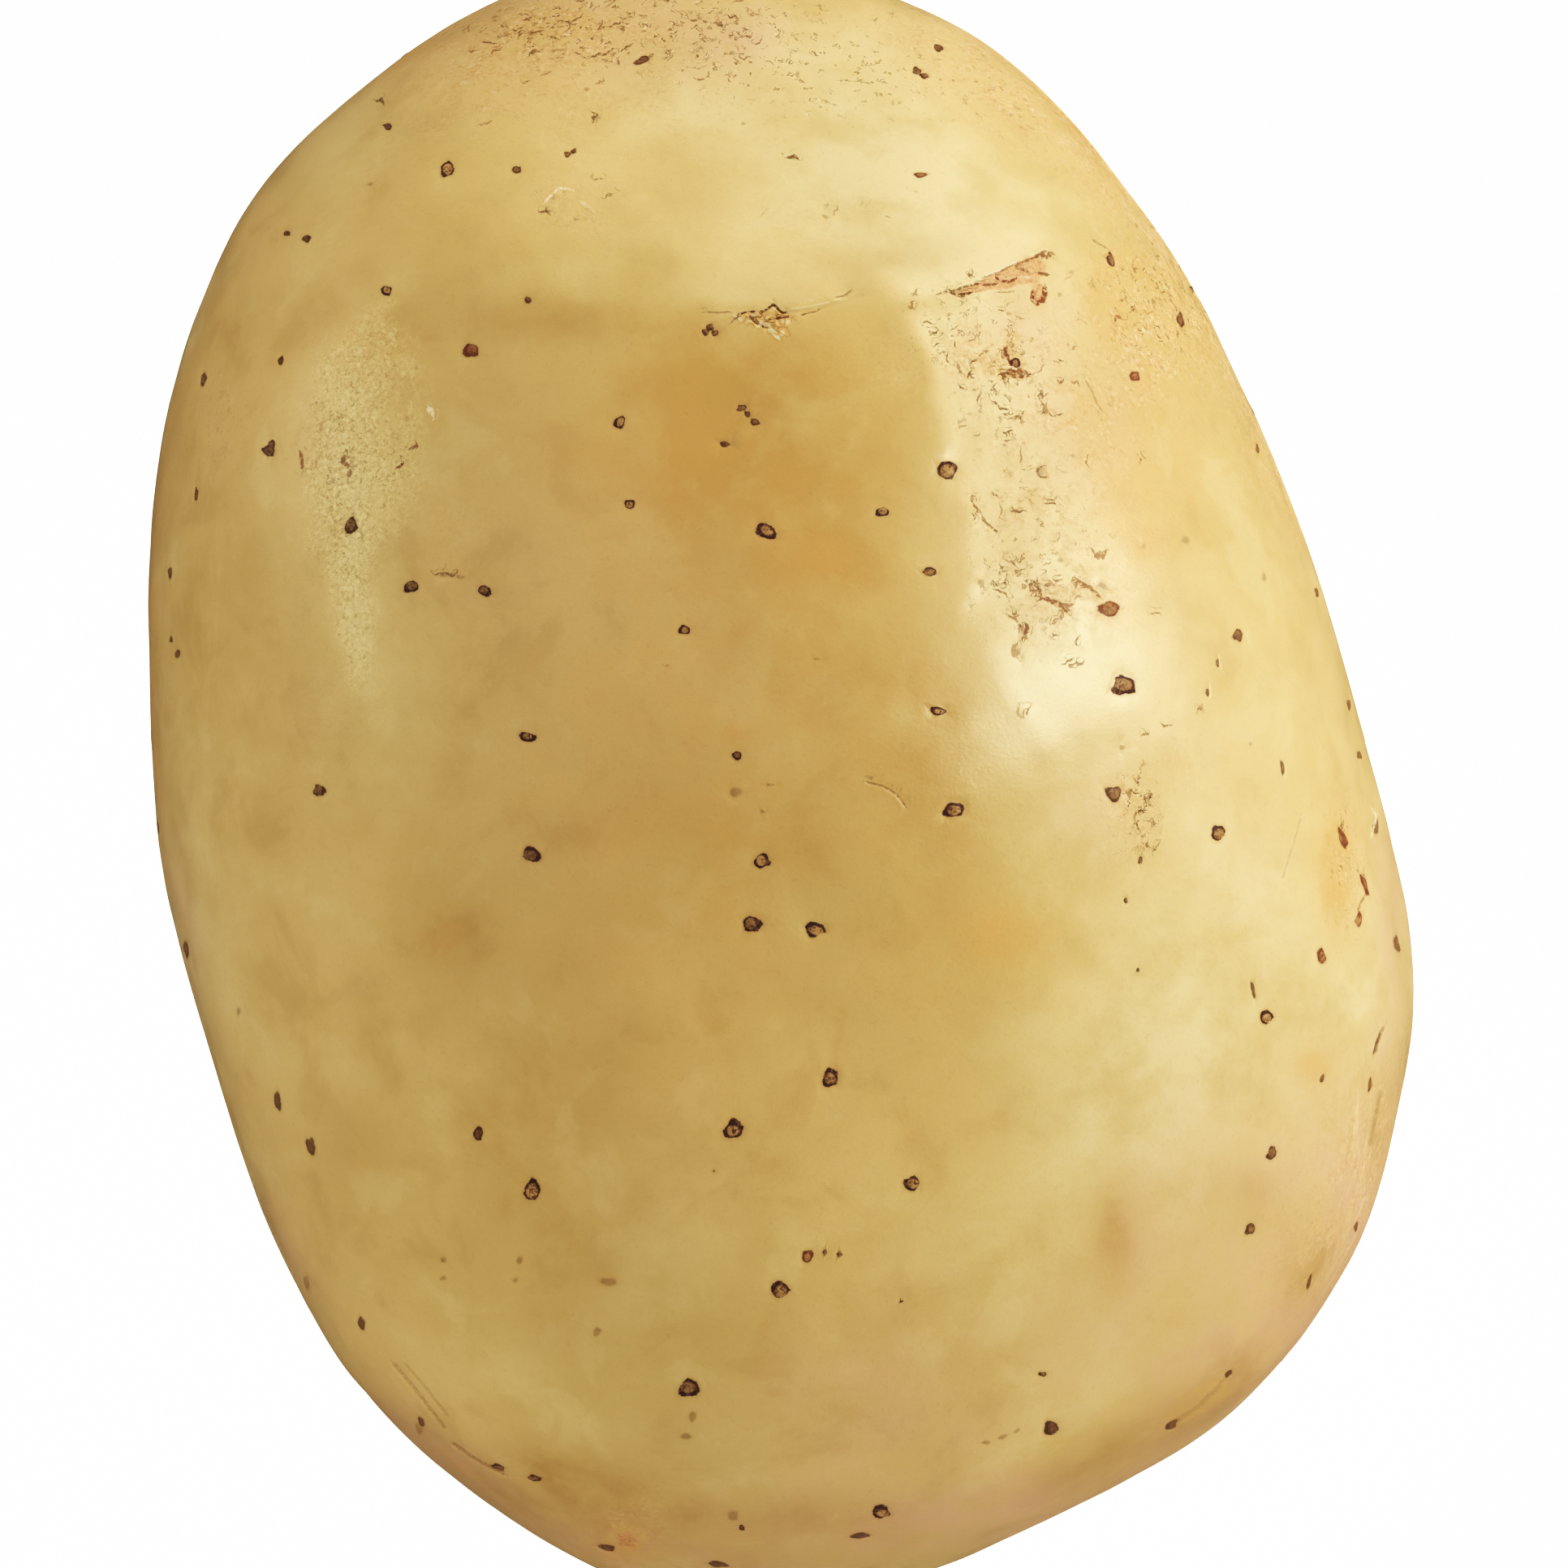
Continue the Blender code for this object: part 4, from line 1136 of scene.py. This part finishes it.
def lenticelSpots(tree, noises, colour):  # a ragged cork rim, a mottled heart, a dull halo
    look, fineGrain, grit, net = skinColours, noises["fineGrain"], noises["grit"], noises["net"]
    ragged = plus(tree, times(tree, fineGrain, 0.6), times(tree, grit, 0.4))
    wander = times(tree, sums(tree, "SUBTRACT", ragged, 0.5), 0.32)
    pore = plus(tree, field(tree, "poreRound"), wander)
    rim = field(tree, "poreRim")
    soft = times(tree, sums(tree, "SUBTRACT", 1.0, rim), 0.4)  # a faint one fades out towards its rim
    inside = span(tree, pore, sums(tree, "SUBTRACT", 0.46, soft), 0.54, 1, 0)
    core = span(tree, plus(tree, field(tree, "poreCore"), wander), 0.4, 0.54, 1, 0)
    red = field(tree, "poreRed")
    cork = mix(tree, span(tree, red, 0.0, 0.5), look["cork"], look["bark"])
    cork = mix(tree, span(tree, red, 0.5, 1.0), cork, look["redCork"])
    cork = mix(tree, span(tree, net, 0.52, 0.64, 0, 0.4), cork, look["dust"])
    worn = times(tree, field(tree, "poreHeart"), span(tree, grit, 0.36, 0.56, 0.1, 1))
    cork = mix(tree, core, cork, mix(tree, worn, cork, look["heart"]))
    colour = mix(tree, times(tree, span(tree, pore, 0.5, 0.8, 0.3, 0), rim), colour, look["smudgeAndShade"])
    corky = times(tree, inside, rim)
    return mix(tree, corky, colour, cork), corky


def cracks(tree, noises, colour):  # creases, cracks, flecks, curled edges and a painted glint
    look, red = skinColours, field(tree, "lineRed")
    colour = mix(tree, field(tree, "crease"), colour, look["crease"])
    offset = plus(tree, field(tree, "lineOffset"), times(tree, noises["net"], 1.6))
    line = times(tree, nearLevel(tree, offset, 0.8, 0.6, 1.2), field(tree, "lineStrength"))
    line = times(tree, line, span(tree, noises["fineGrain"], 0.38, 0.5, 0.2, 1))
    tint = mix(tree, span(tree, red, 0, 1), look["crease"], look["redCork"])
    tint = mix(tree, span(tree, red, -0.7, -0.3, 1, 0), tint, look["flake"])
    return mix(tree, line, colour, tint), line


def skinMaterial():
    material = bpy.data.materials.new("potatoSkin")
    material.use_nodes = True
    tree = material.node_tree
    shader = tree.nodes["Principled BSDF"]
    noises = skinLayers(tree)
    colour = groundColour(tree, noises)
    colour, rough = roughSkin(tree, noises, colour)
    colour = drawnSkin(tree, noises, colour)
    colour, sandyGlint = rubbedSkin(tree, noises, colour)
    colour, stroked = strokes(tree, noises, colour)
    colour = eyeCorners(tree, noises, colour)
    colour, torn = tornSkin(tree, noises, colour)
    colour, corky = lenticelSpots(tree, noises, colour)
    colour, line = cracks(tree, noises, colour)
    tree.links.new(colour, shader.inputs["Base Color"])

    dull = corky
    for layer in (torn, times(tree, rough, 0.6), line):
        dull = sums(tree, "MAXIMUM", dull, layer)
    roughness = tree.nodes.new("ShaderNodeMix")
    tie(tree, roughness.inputs[0], dull)
    tie(tree, roughness.inputs[2], span(tree, noises["mottle"], 0.3, 0.7, *shine["roughness"]))
    tie(tree, roughness.inputs[3], shine["dull"])
    tree.links.new(roughness.outputs[0], shader.inputs["Roughness"])
    for name, value in (("IOR", shine["ior"]), ("Subsurface Weight", shine["subsurface"]),
                        ("Subsurface Radius", shine["depthColour"]), ("Subsurface Scale", shine["depth"]),
                        ("Coat Weight", shine["coat"]), ("Coat Roughness", shine["coatRoughness"])):
        shader.inputs[name].default_value = value

    # fine sandpaper grain
    height = times(tree, plus(tree, noises["fineGrain"], noises["grain"]), 0.2)
    height = plus(tree, height, times(tree, sandyGlint, times(tree, noises["grit"], 1.1)))
    height = plus(tree, height, times(tree, rough, times(tree, noises["net"], 0.5)))
    height = sums(tree, "SUBTRACT", height, times(tree, stroked, 0.6))
    height = sums(tree, "SUBTRACT", height, times(tree, line, 0.8))
    bump = tree.nodes.new("ShaderNodeBump")
    bump.inputs["Strength"].default_value = 1.0
    bump.inputs["Distance"].default_value = shine["bump"]
    tree.links.new(height, bump.inputs["Height"])
    tree.links.new(bump.outputs["Normal"], shader.inputs["Normal"])
    print("skin material made:", len(tree.nodes), "nodes")
    return material


def makePotato():
    bm = growSkin()
    mesh = bpy.data.meshes.new("potatoSkin")
    bm.to_mesh(mesh)
    bm.free()
    mesh.shade_smooth()
    mesh.materials.append(skinMaterial())
    piece = bpy.data.objects.new("potatoSkin", mesh)
    bpy.context.scene.collection.objects.link(piece)
    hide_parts("potato")
    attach(piece, "root")
    print("potato made")


# the studio: soft walls of light round the potato, most of it from the right
studio = {
    "floorSide": 6.0,
    "floorColour": rgb(190, 190, 190),
    "floorInView": 2.1,  # lifts the floor to white where the camera sees it
    "skyLight": 0.06,
    "distance": 1.0,
    "shineColour": (1.0, 0.95, 0.68),
    # name, degrees up, degrees round from +X to +Y, size across and up the slope, watts, what it lights
    "softBoxes": [
        ("rightWall", 12, 22, 0.90, 0.30, 18.0, "colour"),
        ("leftWall", 14, 175, 0.60, 0.30, 3.2, "colour"),
        ("stemWall", 12, 70, 0.80, 0.30, 3.8, "colour"),
        ("roseWall", 12, 280, 1.20, 0.30, 8.8, "colour"),
        ("topBox", 60, 140, 0.50, 0.50, 6.2, "colour"),
        ("rightShine", 36, 19, 0.28, 0.75, 15.5, "shine"),
        ("leftShine", 20, 158, 0.25, 0.60, 2.6, "shine"),
    ],
    "whiteLevel": 2.2,  # the light that the camera's curve shows as white
    "curve": [(0.036, 0.035), (0.068, 0.089), (0.164, 0.31), (0.255, 0.50), (0.373, 0.68),
              (0.536, 0.855), (0.727, 0.97)],
}


def floorMaterial():
    material = bpy.data.materials.new("paleFloor")
    material.use_nodes = True
    tree = material.node_tree
    shader = tree.nodes["Principled BSDF"]
    shader.inputs["Base Color"].default_value = studio["floorColour"]
    shader.inputs["Roughness"].default_value = 0.9
    shader.inputs["Specular IOR Level"].default_value = 0.0
    shader.inputs["Emission Color"].default_value = (1, 1, 1, 1)
    seen = tree.nodes.new("ShaderNodeLightPath").outputs["Is Camera Ray"]
    tree.links.new(times(tree, seen, studio["floorInView"]), shader.inputs["Emission Strength"])
    return material


def cameraCurve():  # the photograph's strong contrast with soft highlights
    view = bpy.context.scene.view_settings
    view.view_transform = "Standard"
    view.use_curve_mapping = True
    view.curve_mapping.white_level = [studio["whiteLevel"]] * 3
    curve = view.curve_mapping.curves[3]
    for place in studio["curve"]:
        curve.points.new(*place)
    view.curve_mapping.update()


def makeStudio():
    bm = bmesh.new()
    bmesh.ops.create_grid(bm, x_segments=1, y_segments=1, size=studio["floorSide"] / 2)
    mesh = bpy.data.meshes.new("floor")
    bm.to_mesh(mesh)
    bm.free()
    mesh.materials.append(floorMaterial())
    floor = bpy.data.objects.new("floor", mesh)
    bpy.context.scene.collection.objects.link(floor)
    floor.visible_glossy = False
    world = bpy.data.worlds.new("studio")
    world.use_nodes = True
    world.node_tree.nodes["Background"].inputs["Color"].default_value = (1, 1, 1, 1)
    world.node_tree.nodes["Background"].inputs["Strength"].default_value = studio["skyLight"]
    bpy.context.scene.world = world
    for name, up, around, width, height, watts, lit in studio["softBoxes"]:
        light = bpy.data.lights.new(name, "AREA")
        light.shape = "RECTANGLE"
        light.size = width
        light.size_y = height
        light.energy = watts
        if lit == "shine":
            light.color = studio["shineColour"]
        box = bpy.data.objects.new(name, light)
        up, around = math.radians(up), math.radians(around)
        aim = Vector((math.cos(up) * math.cos(around), math.cos(up) * math.sin(around), math.sin(up)))
        box.location = skin["heart"] + aim * studio["distance"]
        box.rotation_euler = aim.to_track_quat("Z", "Y").to_euler()
        box.visible_glossy = lit != "colour"
        box.visible_diffuse = lit != "shine"
        bpy.context.scene.collection.objects.link(box)
    cameraCurve()
    print("studio made")


makeCamera()
makeStudio()
makePotato()
